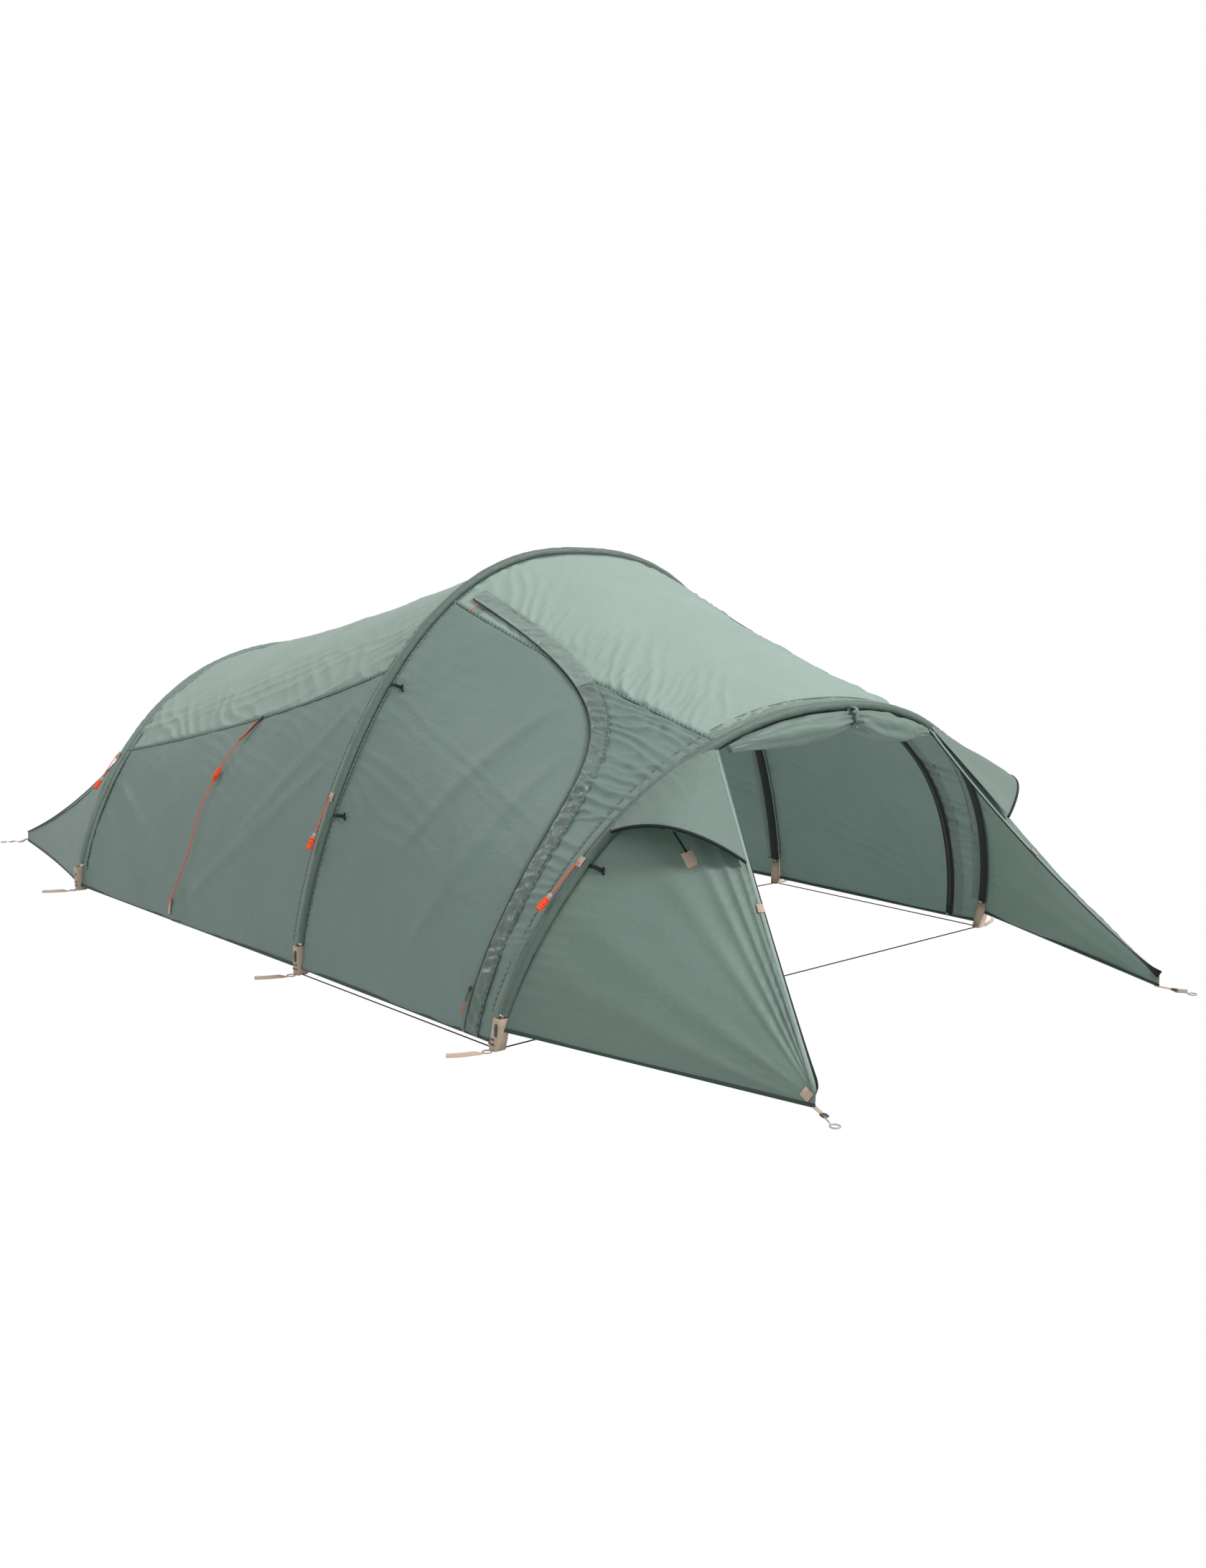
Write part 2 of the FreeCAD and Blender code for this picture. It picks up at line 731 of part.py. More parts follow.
def make_middle_guys():
    """The long side guy: seam, hank and the cord down to the peg loop on the hem."""
    upper = [on_wall(s, u, WALL_LIFT) for s, u in MIDDLE_UPPER]
    lower = [on_wall(s, u, WALL_LIFT) for s, u in MIDDLE_LOWER]
    top = cord("middle_guy_top", upper)
    line = cord("middle_guy_line", lower)
    way = unit(add(lower[0], upper[-1], -1.0))
    long = length(add(lower[0], upper[-1], -1.0))
    hank = Part.makeCylinder(WALL_LIFT - 4.0, long, Vector(*upper[-1]), Vector(*way))
    near = [top, line]
    export("near_middle_cord", *near)
    export("far_middle_cord", *[mirrored(piece) for piece in near])
    export("middle_hanks", hank, mirrored(hank))


# ---- zip sliders --------------------------------------------------------------------
def slider(place, out, along_zip):
    """A zip slider with its pull, flat on the cloth."""
    side = unit(cross(out, along_zip))
    size = SLIDER
    body = box((-size[0] / 2, -size[1] / 2, 0), (size[0] / 2, size[1] / 2, size[2]))
    pull = box((-size[0] / 2 - size[3], -2.5, 1.0), (-size[0] / 2, 2.5, 3.4))
    both = body.fuse(pull)
    frame = FreeCAD.Matrix(
        along_zip[0], side[0], out[0], place[0],
        along_zip[1], side[1], out[1], place[1],
        along_zip[2], side[2], out[2], place[2],
        0, 0, 0, 1)
    both.transformShape(frame, True)
    return both


def slider_places():
    """For the low and the high slider: place, outward normal and the way it travels."""
    frames = ribbon_frames()
    found = {}
    for name, first, other in (("low", 1, 3), ("high", -2, -9)):
        place, out, across = frames[first]
        way = unit(add(frames[other][0], place, -1.0))
        lean = sum(p * q for p, q in zip(way, out))
        square = unit(add(out, way, -lean))
        at = add(add(place, across, -9.0), square, SLIDER_LIFT)
        found[name] = (at, square, way)
    return found


def make_sliders():
    for name, (at, out, way) in slider_places().items():
        piece = slider(at, out, way)
        export("near_" + name + "_slider", piece)
        export("far_" + name + "_slider", mirrored(piece))


def report_joints():
    """Prints the pivots and axes that the record states."""
    foot_at, top = prop_foot(), hood_middle()
    s, v = PROP_AT
    uphill = unit(add(wing(s - 0.1, v), wing(s, v), -1.0))
    axis = unit(cross(unit(add(top, foot_at, -1.0)), uphill))
    print("JOINT prop", [round(p, 3) for p in foot_at], [round(p, 5) for p in axis])
    for name in GUYS:
        print("JOINT", name + "_guy", [round(p, 3) for p in guy_points(name)[0]], [-1, 0, 0])
    apex = (WING_STAKE[0], -WING_STAKE[1])
    at = along(apex, WING_WAY, 32.0)
    lift_axis = [round(WING_WAY[1], 5), round(-WING_WAY[0], 5), 0]
    print("JOINT buckle", [round(at[0], 3), round(at[1], 3), 8.0], lift_axis)
    print("JOINT toggle", [round(p, 3) for p in tie_place()], [1, 0, 0])
    for name, (at, _, way) in slider_places().items():
        print("JOINT", name + "_slider", [round(p, 3) for p in at], [round(p, 5) for p in way])


if __name__ == "__main__":
    make_hoops()
    make_rear_section()
    make_tail()
    make_vestibule()
    make_door_trim()
    make_wings()
    make_rolled_door()
    make_feet()
    make_stakes()
    make_ground_cords()
    make_guys()
    make_middle_guys()
    make_sliders()
    report_joints()
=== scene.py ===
"""Looks of a three-hoop tunnel tent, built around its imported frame. Run as a script."""
import math

import bpy
import numpy as np
from mathutils import Matrix


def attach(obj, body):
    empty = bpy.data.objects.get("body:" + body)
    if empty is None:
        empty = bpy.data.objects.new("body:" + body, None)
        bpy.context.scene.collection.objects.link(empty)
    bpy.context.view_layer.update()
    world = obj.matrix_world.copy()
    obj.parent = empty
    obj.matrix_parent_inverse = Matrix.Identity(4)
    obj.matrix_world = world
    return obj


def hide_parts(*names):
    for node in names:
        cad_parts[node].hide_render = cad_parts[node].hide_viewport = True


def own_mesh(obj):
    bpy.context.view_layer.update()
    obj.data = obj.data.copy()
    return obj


bl_info = {
    "name": "Tunnel Tent",
    "version": (1, 0, 0),
    "blender": (4, 5, 0),
    "location": "View3D > Sidebar > Tent",
    "description": "Cloth, poles, cords and fittings of a three-hoop tunnel tent",
    "category": "Add Mesh",
}

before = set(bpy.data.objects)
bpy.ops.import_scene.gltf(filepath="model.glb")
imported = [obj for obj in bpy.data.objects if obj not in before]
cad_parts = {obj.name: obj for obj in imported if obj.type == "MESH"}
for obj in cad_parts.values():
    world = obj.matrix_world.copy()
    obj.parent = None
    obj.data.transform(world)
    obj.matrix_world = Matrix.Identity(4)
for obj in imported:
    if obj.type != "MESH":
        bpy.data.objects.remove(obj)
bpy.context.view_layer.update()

# A hoop: foot x, half width, crown x, height, and the outline's side and top exponents.
HOOPS = {
    "rear": (-1.0435, 1.025, -1.1135, 0.850, 2.55, 1.45),
    "main": (0.4415, 1.000, 0.4815, 1.190, 2.45, 1.49),
    "front": (1.3265, 0.985, 1.5065, 0.778, 2.22, 1.71),
}
# How far cloth is drawn in half-way between two hoops, as shares of height and half width.
SAG_HIGH = 0.022
SAG_WIDE = 0.020
# Where the tail's and the wing's corners are pegged, and how high their edges start there.
TAIL_STAKE = (-2.1085, 0.815, 0.020)
WING_STAKE = (2.0815, 0.722, 0.014)
STAKE_EDGE = 0.032
# Seams and edges as shares of the hoops' length, from the near foot.
REAR_SEAM = (0.180, 0.268)
TAIL_SEAM = 0.180
ROOF_EDGE = 0.3465
WING_FOOT = 0.018
WING_TOP = 0.345
# A vent hood: its low end on the hoop, its far end on the wing, its arch and its direction.
HOOD_START = 0.205
HOOD_EDGE = 0.375
HOOD_RISE = 0.092
HOOD_OUT = np.array((0.42, -0.60, 0.68)) / math.sqrt(0.42 ** 2 + 0.60 ** 2 + 0.68 ** 2)
# The zip: how far forward it starts, how much it rakes back, and the share it ends at.
ZIP_FRONT = 0.865
ZIP_RAKE = 0.07
ZIP_TOP = 0.357
# Height of the lowest cloth, half a hem's binding as a share of a hoop, and a panel's length
# as a share of the distance between the feet of its two hoops.
HEM_Z = 0.018
HEM_SHARE = 0.0016
PANEL_RUN = 0.93
SLEEVE_R = 0.013
CORD_R = 0.0015
GROUND_R = 0.00175
RING_R = 0.011
# The rolled door's two ends and its tie as shares of the front hoop; a prop's foot on the wing.
ROLL = (0.352, 0.515, 0.655)
PROP_AT = (0.218, 0.764)
WING_WAY = np.array((0.93, -0.37, 0.0)) / math.hypot(0.93, 0.37)
TAIL_WAY = np.array((-0.55, -0.83, 0.0)) / math.hypot(0.55, 0.83)
UP = np.array((0.0, 0.0, 1.0))
FORE = np.array((1.0, 0.0, 0.0))
MIRROR = np.array((1.0, -1.0, 1.0))
SIDES = (("near", 1), ("far", -1))
# The three sleeve finishes are one cloth in lit and shaded copies: painted light and painted shade.
SLEEVE_FINISH = {"rear": "rear_sleeve", "main": "sleeve", "front": "front_sleeve"}
# Camera: place in metres, turn and rise in degrees, lean in radians, and lens in millimetres.
CAMERA_AT = (3.9706, -2.9995, 1.0924)
CAMERA_TURN = 48.41
CAMERA_RISE = 7.84
CAMERA_LEAN = 0.0091
CAMERA_LENS = 33.45
# Soft suns: strength, width in degrees, and the direction towards each.
SUNS = {"key": (3.5, 18, (0.65, 0.40, 0.68)), "rim": (0.8, 14, (-0.70, -0.28, 0.66))}
FLOOR = 40.0


# ---- numbers on arrays --------------------------------------------------------------
def unit(a):
    """Each row divided by its length."""
    return a / np.maximum(np.linalg.norm(a, axis=-1, keepdims=True), 1e-12)


def mix(a, b, t):
    """a plus t times b less a, with t spread over the coordinates."""
    t = np.asarray(t, float)[..., None]
    return a + (b - a) * t


def walked(points):
    """Length walked along a row of points up to each of them."""
    steps = np.linalg.norm(np.diff(points, axis=0), axis=-1)
    return np.concatenate([[0.0], np.cumsum(steps)])


def smooth_line(points, count):
    """A line drawn through a few points: cubic Hermite runs with chord slopes."""
    p = np.asarray(points, float)
    slope = np.gradient(p, axis=0)
    t = np.linspace(0, len(p) - 1, count)
    i = np.minimum(t.astype(int), len(p) - 2)
    f = (t - i)[:, None]
    h1 = 2 * f ** 3 - 3 * f ** 2 + 1
    h2 = f ** 3 - 2 * f ** 2 + f
    h3 = f ** 3 - f ** 2
    return h1 * p[i] + h2 * slope[i] + (1 - h1) * p[i + 1] + h3 * slope[i + 1]


def line_share(count):
    """Equal steps from 0 to 1."""
    return np.linspace(0, 1, count)


def fade(x):
    """0 below 0, 1 above 1, and 3x^2 - 2x^3 between."""
    x = np.clip(x, 0, 1)
    return x * x * (3 - 2 * x)


# ---- cloth relief -------------------------------------------------------------------
def lattice(x, y, seed):
    """Value noise from -1 to 1: random corner values joined by fifth-degree steps."""
    table = np.random.RandomState(seed).uniform(-1, 1, (61, 61))
    x, y = np.broadcast_arrays(np.asarray(x, float), np.asarray(y, float))
    i, j = np.floor(x).astype(int), np.floor(y).astype(int)
    p, q = x - i, y - j
    p = p ** 3 * (p * (p * 6 - 15) + 10)
    q = q ** 3 * (q * (q * 6 - 15) + 10)
    low = table[i % 61, j % 61] * (1 - p) + table[(i + 1) % 61, j % 61] * p
    high = table[i % 61, (j + 1) % 61] * (1 - p) + table[(i + 1) % 61, (j + 1) % 61] * p
    return low * (1 - q) + high * q


def rumple(a, b, size, seed, layers=3):
    """Soft waves: value noise of falling size and height added up."""
    total = 0.0
    for k in range(layers):
        total = total + lattice(a / size * 2 ** k, b / size * 2 ** k, seed + k) / 1.9 ** k
    return total


def creases(a, b, heading, spacing, seed, sharp=1.6, cover=0.25):
    """Crests that run at a heading in degrees, wandering, each fading in and out."""
    turn = math.radians(heading)
    run = a * math.cos(turn) + b * math.sin(turn)
    over = b * math.cos(turn) - a * math.sin(turn)
    wander = 0.55 * lattice(run / (4 * spacing), over / (2 * spacing), seed)
    crest = 1 - np.abs(2 * ((over / spacing + wander) % 1.0) - 1)
    mask = fade(lattice(run / (7 * spacing), over / (1.7 * spacing), seed + 1) + cover + 0.3)
    return (crest ** sharp) * mask


def puckers(off, run, reach, spacing, seed):
    """Gathers square to a seam: rounded crests along it, dying away with distance off it."""
    phase = run / spacing + 0.7 * lattice(run / (2.5 * spacing), 0.3, seed)
    long = reach * (1 + 0.5 * lattice(run / spacing, 2.7, seed + 1))
    high = 0.6 + 0.4 * lattice(run / (1.5 * spacing), 5.1, seed + 2)
    return high * np.exp(-np.maximum(off, 0) / long) * (0.5 + 0.5 * np.cos(2 * np.pi * phase))


def fold(a, b, start, end, width):
    """One long fold: a bell across the line from start to end, in metres, pointed at its ends."""
    start, end = np.array(start), np.array(end)
    way = end - start
    long = np.hypot(*way)
    way = way / long
    run = ((a - start[0]) * way[0] + (b - start[1]) * way[1]) / long
    over = (b - start[1]) * way[0] - (a - start[0]) * way[1]
    wide = width * (0.45 + 0.55 * np.sin(np.pi * np.clip(run, 0, 1)))
    ends = fade(run * 6) * fade((1 - run) * 6)
    return ends * np.exp(-(over / wide) ** 2)


# ---- the tent's curves and surfaces -------------------------------------------------
def hoop_table(name):
    """|y / half width| ** side + |z / height| ** top = 1, leaning from foot to crown."""
    foot_x, half, crown_x, high, side, top = HOOPS[name]
    turn = np.linspace(0, np.pi, 401)
    c = np.cos(turn)
    up = np.maximum(np.sin(turn), 0) ** (2 / top)
    y = -half * np.sign(c) * np.abs(c) ** (2 / side)
    points = np.stack([foot_x + (crown_x - foot_x) * up, y, high * up], axis=-1)
    far = walked(points)
    return far / far[-1], points, far[-1]


TABLES = {name: hoop_table(name) for name in HOOPS}


def hoop(name, u):
    """The hoop's centre line at the share u of its length, 0 at the near foot."""
    shares, points, _ = TABLES[name]
    return np.stack([np.interp(u, shares, points[:, k]) for k in range(3)], axis=-1)


def share_at(name, height):
    """The share of the near leg at which the hoop reaches a height."""
    shares, points, _ = TABLES[name]
    return float(np.interp(height, points[:150, 2], shares[:150]))


def between(a, b, s, u):
    """Straight lines from hoop a to hoop b at the same share, drawn in by 4s(1 - s)."""
    p = mix(hoop(a, u), hoop(b, u), s)
    high = HOOPS[a][3] * (1 - s) + HOOPS[b][3] * s
    pull = 4 * s * (1 - s)
    y = p[..., 1] * (1 - SAG_WIDE * pull * np.minimum(1, 1.2 * p[..., 2] / high))
    return np.stack([p[..., 0], y, p[..., 2] * (1 - SAG_HIGH * pull)], axis=-1)


def rear_skin(s, u):
    """The canopy behind the main hoop."""
    return between("rear", "main", s, u)


def vestibule_skin(s, u):
    """The canopy ahead of the main hoop."""
    return between("main", "front", s, u)


def joined(a, b, s):
    """s squeezed so that a panel's ends stop at the two sleeves."""
    clear = (SLEEVE_R + 0.0005) / (abs(HOOPS[b][0] - HOOPS[a][0]) * PANEL_RUN)
    return clear + (1 - 2 * clear) * s


def rear_seam(s):
    """The seam between roof and near wall, as a share of the hoops, straight in s."""
    return REAR_SEAM[0] + (REAR_SEAM[1] - REAR_SEAM[0]) * s


def tail_back(s, u):
    """Straight lines from the rear hoop to the hem between the end stakes, sagging."""
    share = (u - TAIL_SEAM) / (1 - 2 * TAIL_SEAM)
    hem = 4 * share * (1 - share)
    end = np.stack([TAIL_STAKE[0] + 0.09 * hem, TAIL_STAKE[1] * (2 * share - 1),
                    STAKE_EDGE + 0.010 + 0 * share], axis=-1)
    p = mix(hoop("rear", u), end, s)
    p[..., 2] -= 0.034 * 4 * s * (1 - s)
    return p


def tail_share(s):
    """s squeezed so that the tail's panels stop at the sleeve and just short of the pegs."""
    return 0.0165 + 0.9785 * s


def tail_side(s, v):
    """The low triangle beside the rear hoop, v from the ground to the seam."""
    end = np.stack([TAIL_STAKE[0] + 0 * v, -TAIL_STAKE[1] + 0 * v,
                    TAIL_STAKE[2] - 0.012 + (STAKE_EDGE + 0.002) * v], axis=-1)
    p = mix(hoop("rear", TAIL_SEAM * v), end, s)
    pull = 4 * s * (1 - s)
    p[..., 1] *= 1 - 0.012 * pull
    p[..., 2] -= 0.034 * pull * v * v
    return p


def wing(s, v):
    """Straight lines from the front hoop's leg to the wing's stake, hollowed by tension."""
    end = np.stack([WING_STAKE[0] + 0 * v, -WING_STAKE[1] + 0 * v,
                    WING_STAKE[2] + STAKE_EDGE * v], axis=-1)
    p = mix(hoop("front", WING_FOOT + (WING_TOP - WING_FOOT) * v), end, s)
    pull = 4 * s * (1 - s) * v
    return p + np.stack([-0.010 * pull, 0.014 * pull, -0.020 * pull], axis=-1)


def hood(a, b):
    """A vent hood: straight from the sleeve, b = 0, to its arched stiff hem, b = 1."""
    root = hoop("front", HOOD_START + (WING_TOP - HOOD_START) * a)
    corner = wing(np.array(HOOD_EDGE), np.array(1.0))
    arch = np.maximum(np.sin(np.pi * a), 0)
    hem = mix(hoop("front", HOOD_START), corner, a)
    hem = hem + HOOD_OUT * (HOOD_RISE * arch ** 0.8)[..., None]
    lift = 0.016 * (1 - 0.8 * a ** 4) + 0.010 * np.sin(np.pi * b) * arch
    return mix(root, hem, b) + HOOD_OUT * lift[..., None]


def zip_share(u):
    """How far forward the side door's zip lies at the share u of the hoops."""
    r = np.minimum(u / ZIP_TOP, 1.0)
    return ZIP_FRONT * (1 - ZIP_RAKE * r) * (1 - r ** 6) ** 0.4


def zip_shares(count, low=0.020):
    """The zip as (s, u): r = sin(turn) ** (1/3) up and cos(turn) ** 0.8 forward, evenly cut."""
    turn = math.radians(88.0) * (np.arange(241) / 240) ** 3
    r = np.maximum(np.sin(turn), 1e-6) ** (1 / 3)
    s, u = ZIP_FRONT * (1 - ZIP_RAKE * r) * np.cos(turn) ** 0.8, ZIP_TOP * r
    keep = (u >= low) & (s >= 0.045)
    s, u = s[keep], u[keep]
    far = walked(vestibule_skin(s, u))
    want = np.linspace(0, far[-1], count)
    return np.interp(want, far, s), np.interp(want, far, u)


def surface_frame(skin, s, u):
    """Points, outward normals and forward directions of a skin along a row of shares."""
    d = 1e-3
    out = unit(np.cross(skin(s + d, u) - skin(s - d, u), skin(s, u + d) - skin(s, u - d)))
    p = skin(s, u)
    outside = np.sum(out * (p - np.array((p[..., 0].mean(), 0, 0.2))), axis=-1).mean()
    return p, out * (1 if outside > 0 else -1)


# ---- mesh parts ---------------------------------------------------------------------
def quads(rows, columns, loop_rows=False, loop_columns=False):
    """Corner numbers of a grid's faces, closed round in either direction if asked."""
    i = np.arange(rows if loop_rows else rows - 1)
    j = np.arange(columns if loop_columns else columns - 1)
    i, j = np.meshgrid(i, j, indexing="ij")
    k, m = (i + 1) % rows, (j + 1) % columns
    return np.stack([i * columns + j, k * columns + j, k * columns + m, i * columns + m],
                    axis=-1).reshape(-1, 4)


def volume(points, faces, caps):
    """Signed volume: the sum of corner triple products over the triangles."""
    tris = [faces[:, (0, 1, 2)], faces[:, (0, 2, 3)]]
    for cap in caps:
        cap = np.asarray(cap)
        tris.append(np.stack([np.full(len(cap) - 2, cap[0]), cap[1:-1], cap[2:]], axis=-1))
    t = points[np.concatenate(tris)]
    return np.sum(t[:, 0] * np.cross(t[:, 1], t[:, 2])) / 6


def solid_grid(grid, loop_rows=False):
    """A part from a grid whose rows are closed rings; ends are capped unless it loops."""
    rows, columns = grid.shape[:2]
    points = grid.reshape(-1, 3)
    faces = quads(rows, columns, loop_rows, True)
    caps = []
    if not loop_rows:
        caps = [np.arange(columns)[::-1], (rows - 1) * columns + np.arange(columns)]
    far = walked(grid[:, 0])
    ring = walked(grid[rows // 2])
    uv = np.stack(np.meshgrid(far, ring, indexing="ij"), axis=-1).reshape(-1, 2)
    if volume(points, faces, caps) < 0:
        faces = faces[:, ::-1]
        caps = [cap[::-1] for cap in caps]
    return points, faces, caps, uv


def round_turn(count):
    """Equal steps once round, in radians, the first not repeated."""
    return np.linspace(0, 2 * np.pi, count + 1)[:-1]


def round_profile(radius, sides=10):
    """A circle of (across, out) offsets."""
    turn = np.arange(sides) * 2 * np.pi / sides
    return np.stack([np.cos(turn), np.sin(turn)], axis=-1) * radius


def flat_profile(wide, thick, soft=0.3):
    """A strap's section: a rectangle with its corners cut by a share of its thickness."""
    w, t, c = wide / 2, thick / 2, thick * soft
    return np.array([(w - c, -t), (w, -t + c), (w, t - c), (w - c, t),
                     (c - w, t), (-w, t - c), (-w, c - t), (c - w, -t)])


def sweep(path, hint, profile, loop=False, scale=1.0):
    """A profile carried along a path: offsets across and out, out being hint made square."""
    path = np.asarray(path, float)
    if loop:
        run = unit(np.roll(path, -1, axis=0) - np.roll(path, 1, axis=0))
    else:
        run = unit(np.gradient(path, axis=0))
    hint = np.broadcast_to(np.asarray(hint, float), path.shape)
    out = unit(hint - run * np.sum(hint * run, axis=-1, keepdims=True))
    side = np.cross(run, out)
    profile = np.asarray(profile) * np.ones((len(path), 1, 1)) * np.reshape(scale, (-1, 1, 1))
    grid = path[:, None] + side[:, None] * profile[..., :1] + out[:, None] * profile[..., 1:]
    return solid_grid(grid, loop)


def mirror_part(part):
    """The part on the tent's other side, its faces turned to point outwards again."""
    points, faces, caps, uv = part
    return points * MIRROR, faces[:, ::-1], [cap[::-1] for cap in caps], uv


def free_name(name):
    """The name, or the name with _piece where a frame node has it."""
    return name + "_piece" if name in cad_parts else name


def put(name, parts, material, body, nodes=(), smooth=True):
    """One object from its parts, at the origin, riding on a body."""
    name = free_name(name)
    points, loops, starts, uvs = [], [], [], []
    base = filled = 0
    for pts, faces, caps, uv in parts:
        points.append(pts)
        uvs.append(uv)
        loops.append((faces + base).ravel())
        starts.append(filled + np.arange(len(faces)) * 4)
        filled += faces.size
        for cap in caps:
            loops.append(np.asarray(cap) + base)
            starts.append(np.array([filled]))
            filled += len(cap)
        base += len(pts)
    points, loops = np.concatenate(points), np.concatenate(loops)
    starts, uvs = np.concatenate(starts), np.concatenate(uvs)
    mesh = bpy.data.meshes.new(name)
    mesh.vertices.add(len(points))
    mesh.vertices.foreach_set("co", points.astype(np.float32).ravel())
    mesh.loops.add(len(loops))
    mesh.loops.foreach_set("vertex_index", loops.astype(np.int32))
    mesh.polygons.add(len(starts))
    mesh.polygons.foreach_set("loop_start", starts.astype(np.int32))
    mesh.update(calc_edges=True)
    mesh.polygons.foreach_set("use_smooth", np.full(len(starts), smooth))
    layer = mesh.uv_layers.new(name="UVMap")
    layer.data.foreach_set("uv", uvs[loops].astype(np.float32).ravel())
    mesh.validate()
    piece = bpy.data.objects.new(name, mesh)
    bpy.context.scene.collection.objects.link(piece)
    mesh.materials.append(material)
    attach(piece, body)
    if nodes:
        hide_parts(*nodes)
    return piece


def both_sides(name, parts, material, body, nodes=(), smooth=True):
    """A piece of the near side and its mirror image; % in a name stands for the side."""
    made = []
    for side, sign in SIDES:
        here = parts if sign > 0 else [mirror_part(part) for part in parts]
        named = [node.replace("%", side) for node in nodes]
        made.append(put(side + "_" + name, here, material, body.replace("%", side),
                        named, smooth))
    return made


def cloth(name, place, s, u, relief, material, slot="fabric", nodes=(), side=1, body="tent",
          rests_on=(), held="stretched", lift=0.0):
    """A panel: place(s, u) on a grid, moved out along its normal by the relief in metres."""
    sizes = bpy.context.scene.tent_sizes
    s, u = np.meshgrid(s, u, indexing="ij")
    grid = place(s, u)
    a = np.concatenate([np.zeros((1, s.shape[1])),
                        np.cumsum(np.linalg.norm(np.diff(grid, axis=0), axis=-1), axis=0)])
    b = np.concatenate([np.zeros((s.shape[0], 1)),
                        np.cumsum(np.linalg.norm(np.diff(grid, axis=1), axis=-1), axis=1)], axis=1)
    out = unit(np.cross(np.gradient(grid, axis=0), np.gradient(grid, axis=1)))
    middle = np.array((grid[..., 0].mean(), 0.0, 0.15))
    face = 1 if np.sum(out * (grid - middle)) > 0 else -1
    edge = np.minimum(np.minimum(a, a[-1:] - a), np.minimum(b, b[:, -1:] - b))
    rise = relief(a, b, s, u) * fade(edge / 0.012) * sizes.rise
    grid = grid + out * face * (rise + lift)[..., None]
    faces = quads(*grid.shape[:2])
    if face * side < 0:
        faces = faces[:, ::-1]
    if side < 0:
        grid = grid * MIRROR
    part = (grid.reshape(-1, 3), faces, [], np.stack([a, b], axis=-1).reshape(-1, 2))
    piece = put(name, [part], material, body, nodes)
    wall = piece.modifiers.new("thickness", "SOLIDIFY")
    wall.thickness = sizes.cloth
    wall.offset = -1.0
    return piece


# ---- finishes -----------------------------------------------------------------------
def tint(code):
    """An sRGB hex value as linear red, green, blue and alpha."""
    value = [int(code[i:i + 2], 16) / 255 for i in (1, 3, 5)]
    return [c / 12.92 if c <= 0.04045 else ((c + 0.055) / 1.055) ** 2.4 for c in value] + [1.0]


def node(tree, kind, sockets=(), **settings):
    """Adds a shader node, sets its settings, and fills or links its sockets."""
    made = tree.nodes.new("ShaderNode" + kind)
    for key, value in settings.items():
        setattr(made, key, value)
    for key, value in dict(sockets).items():
        if isinstance(value, bpy.types.NodeSocket):
            tree.links.new(value, made.inputs[key])
        else:
            made.inputs[key].default_value = value
    return made


def blank(name):
    """A material with only its output node."""
    made = bpy.data.materials.new(name)
    made.use_nodes = True
    made.node_tree.nodes.clear()
    return made, made.node_tree, node(made.node_tree, "OutputMaterial")


def shade(code, share):
    """The linear colour made lighter or darker by a share."""
    return [min(1.0, c * share) for c in tint(code)[:3]] + [1.0]


def woven(name, code, glow=0.38, rough=0.50, crinkle=0.0030):
    """Ripstop polyester, woven, coated and calendered: soft satin, with a faint grid of
    thicker yarns and light that glows through. Real ripstop squares are 5 mm; they are drawn
    at 9 mm so that they still show. Crinkles are 18 to 60 mm across, as pressed-in folds are."""
    made, tree, end = blank(name)
    place = node(tree, "TexCoord").outputs["UV"]
    grid = node(tree, "TexBrick", {
        "Vector": place, "Scale": 1.0, "Mortar Size": 0.0005, "Brick Width": 0.009,
        "Row Height": 0.009, "Mortar Smooth": 0.6, "Color1": shade(code, 0.985),
        "Color2": shade(code, 1.015), "Mortar": shade(code, 1.10)}, offset=0.0)
    patchy = node(tree, "TexNoise", {"Vector": place, "Scale": 5.0, "Detail": 3.0})
    share = node(tree, "MapRange", {"Value": patchy.outputs["Fac"], "From Min": 0.3,
                                    "From Max": 0.7, "To Min": 0.0, "To Max": 0.5})
    colour = node(tree, "Mix", {"Factor": share.outputs[0], "A": grid.outputs["Color"],
                                "B": shade(code, 1.12)}, data_type="RGBA").outputs["Result"]
    small = node(tree, "TexNoise", {"Vector": place, "Scale": 38.0, "Detail": 4.0,
                                    "Distortion": 1.2})
    ridged = node(tree, "TexNoise", {"Vector": place, "Scale": 14.0, "Detail": 5.0,
                                     "Distortion": 0.8}, noise_type="RIDGED_MULTIFRACTAL")
    high = node(tree, "Math", {0: small.outputs["Fac"], 1: ridged.outputs["Fac"]})
    bump = node(tree, "Bump", {"Height": high.outputs[0], "Strength": 0.45, "Distance": crinkle})
    yarn = node(tree, "Bump", {"Height": grid.outputs["Fac"], "Strength": 0.35,
                               "Distance": 0.0003, "Normal": bump.outputs[0]})
    face = node(tree, "BsdfPrincipled", {
        "Base Color": colour, "Normal": yarn.outputs[0], "Roughness": rough,
        "Specular IOR Level": 0.35, "Sheen Weight": 0.08, "Sheen Roughness": 0.4})
    through = node(tree, "BsdfTranslucent", {"Color": shade(code, 1.9),
                                             "Normal": bump.outputs[0]})
    both = node(tree, "MixShader", {0: glow, 1: face.outputs[0], 2: through.outputs[0]})
    tree.links.new(both.outputs[0], end.inputs["Surface"])
    return made


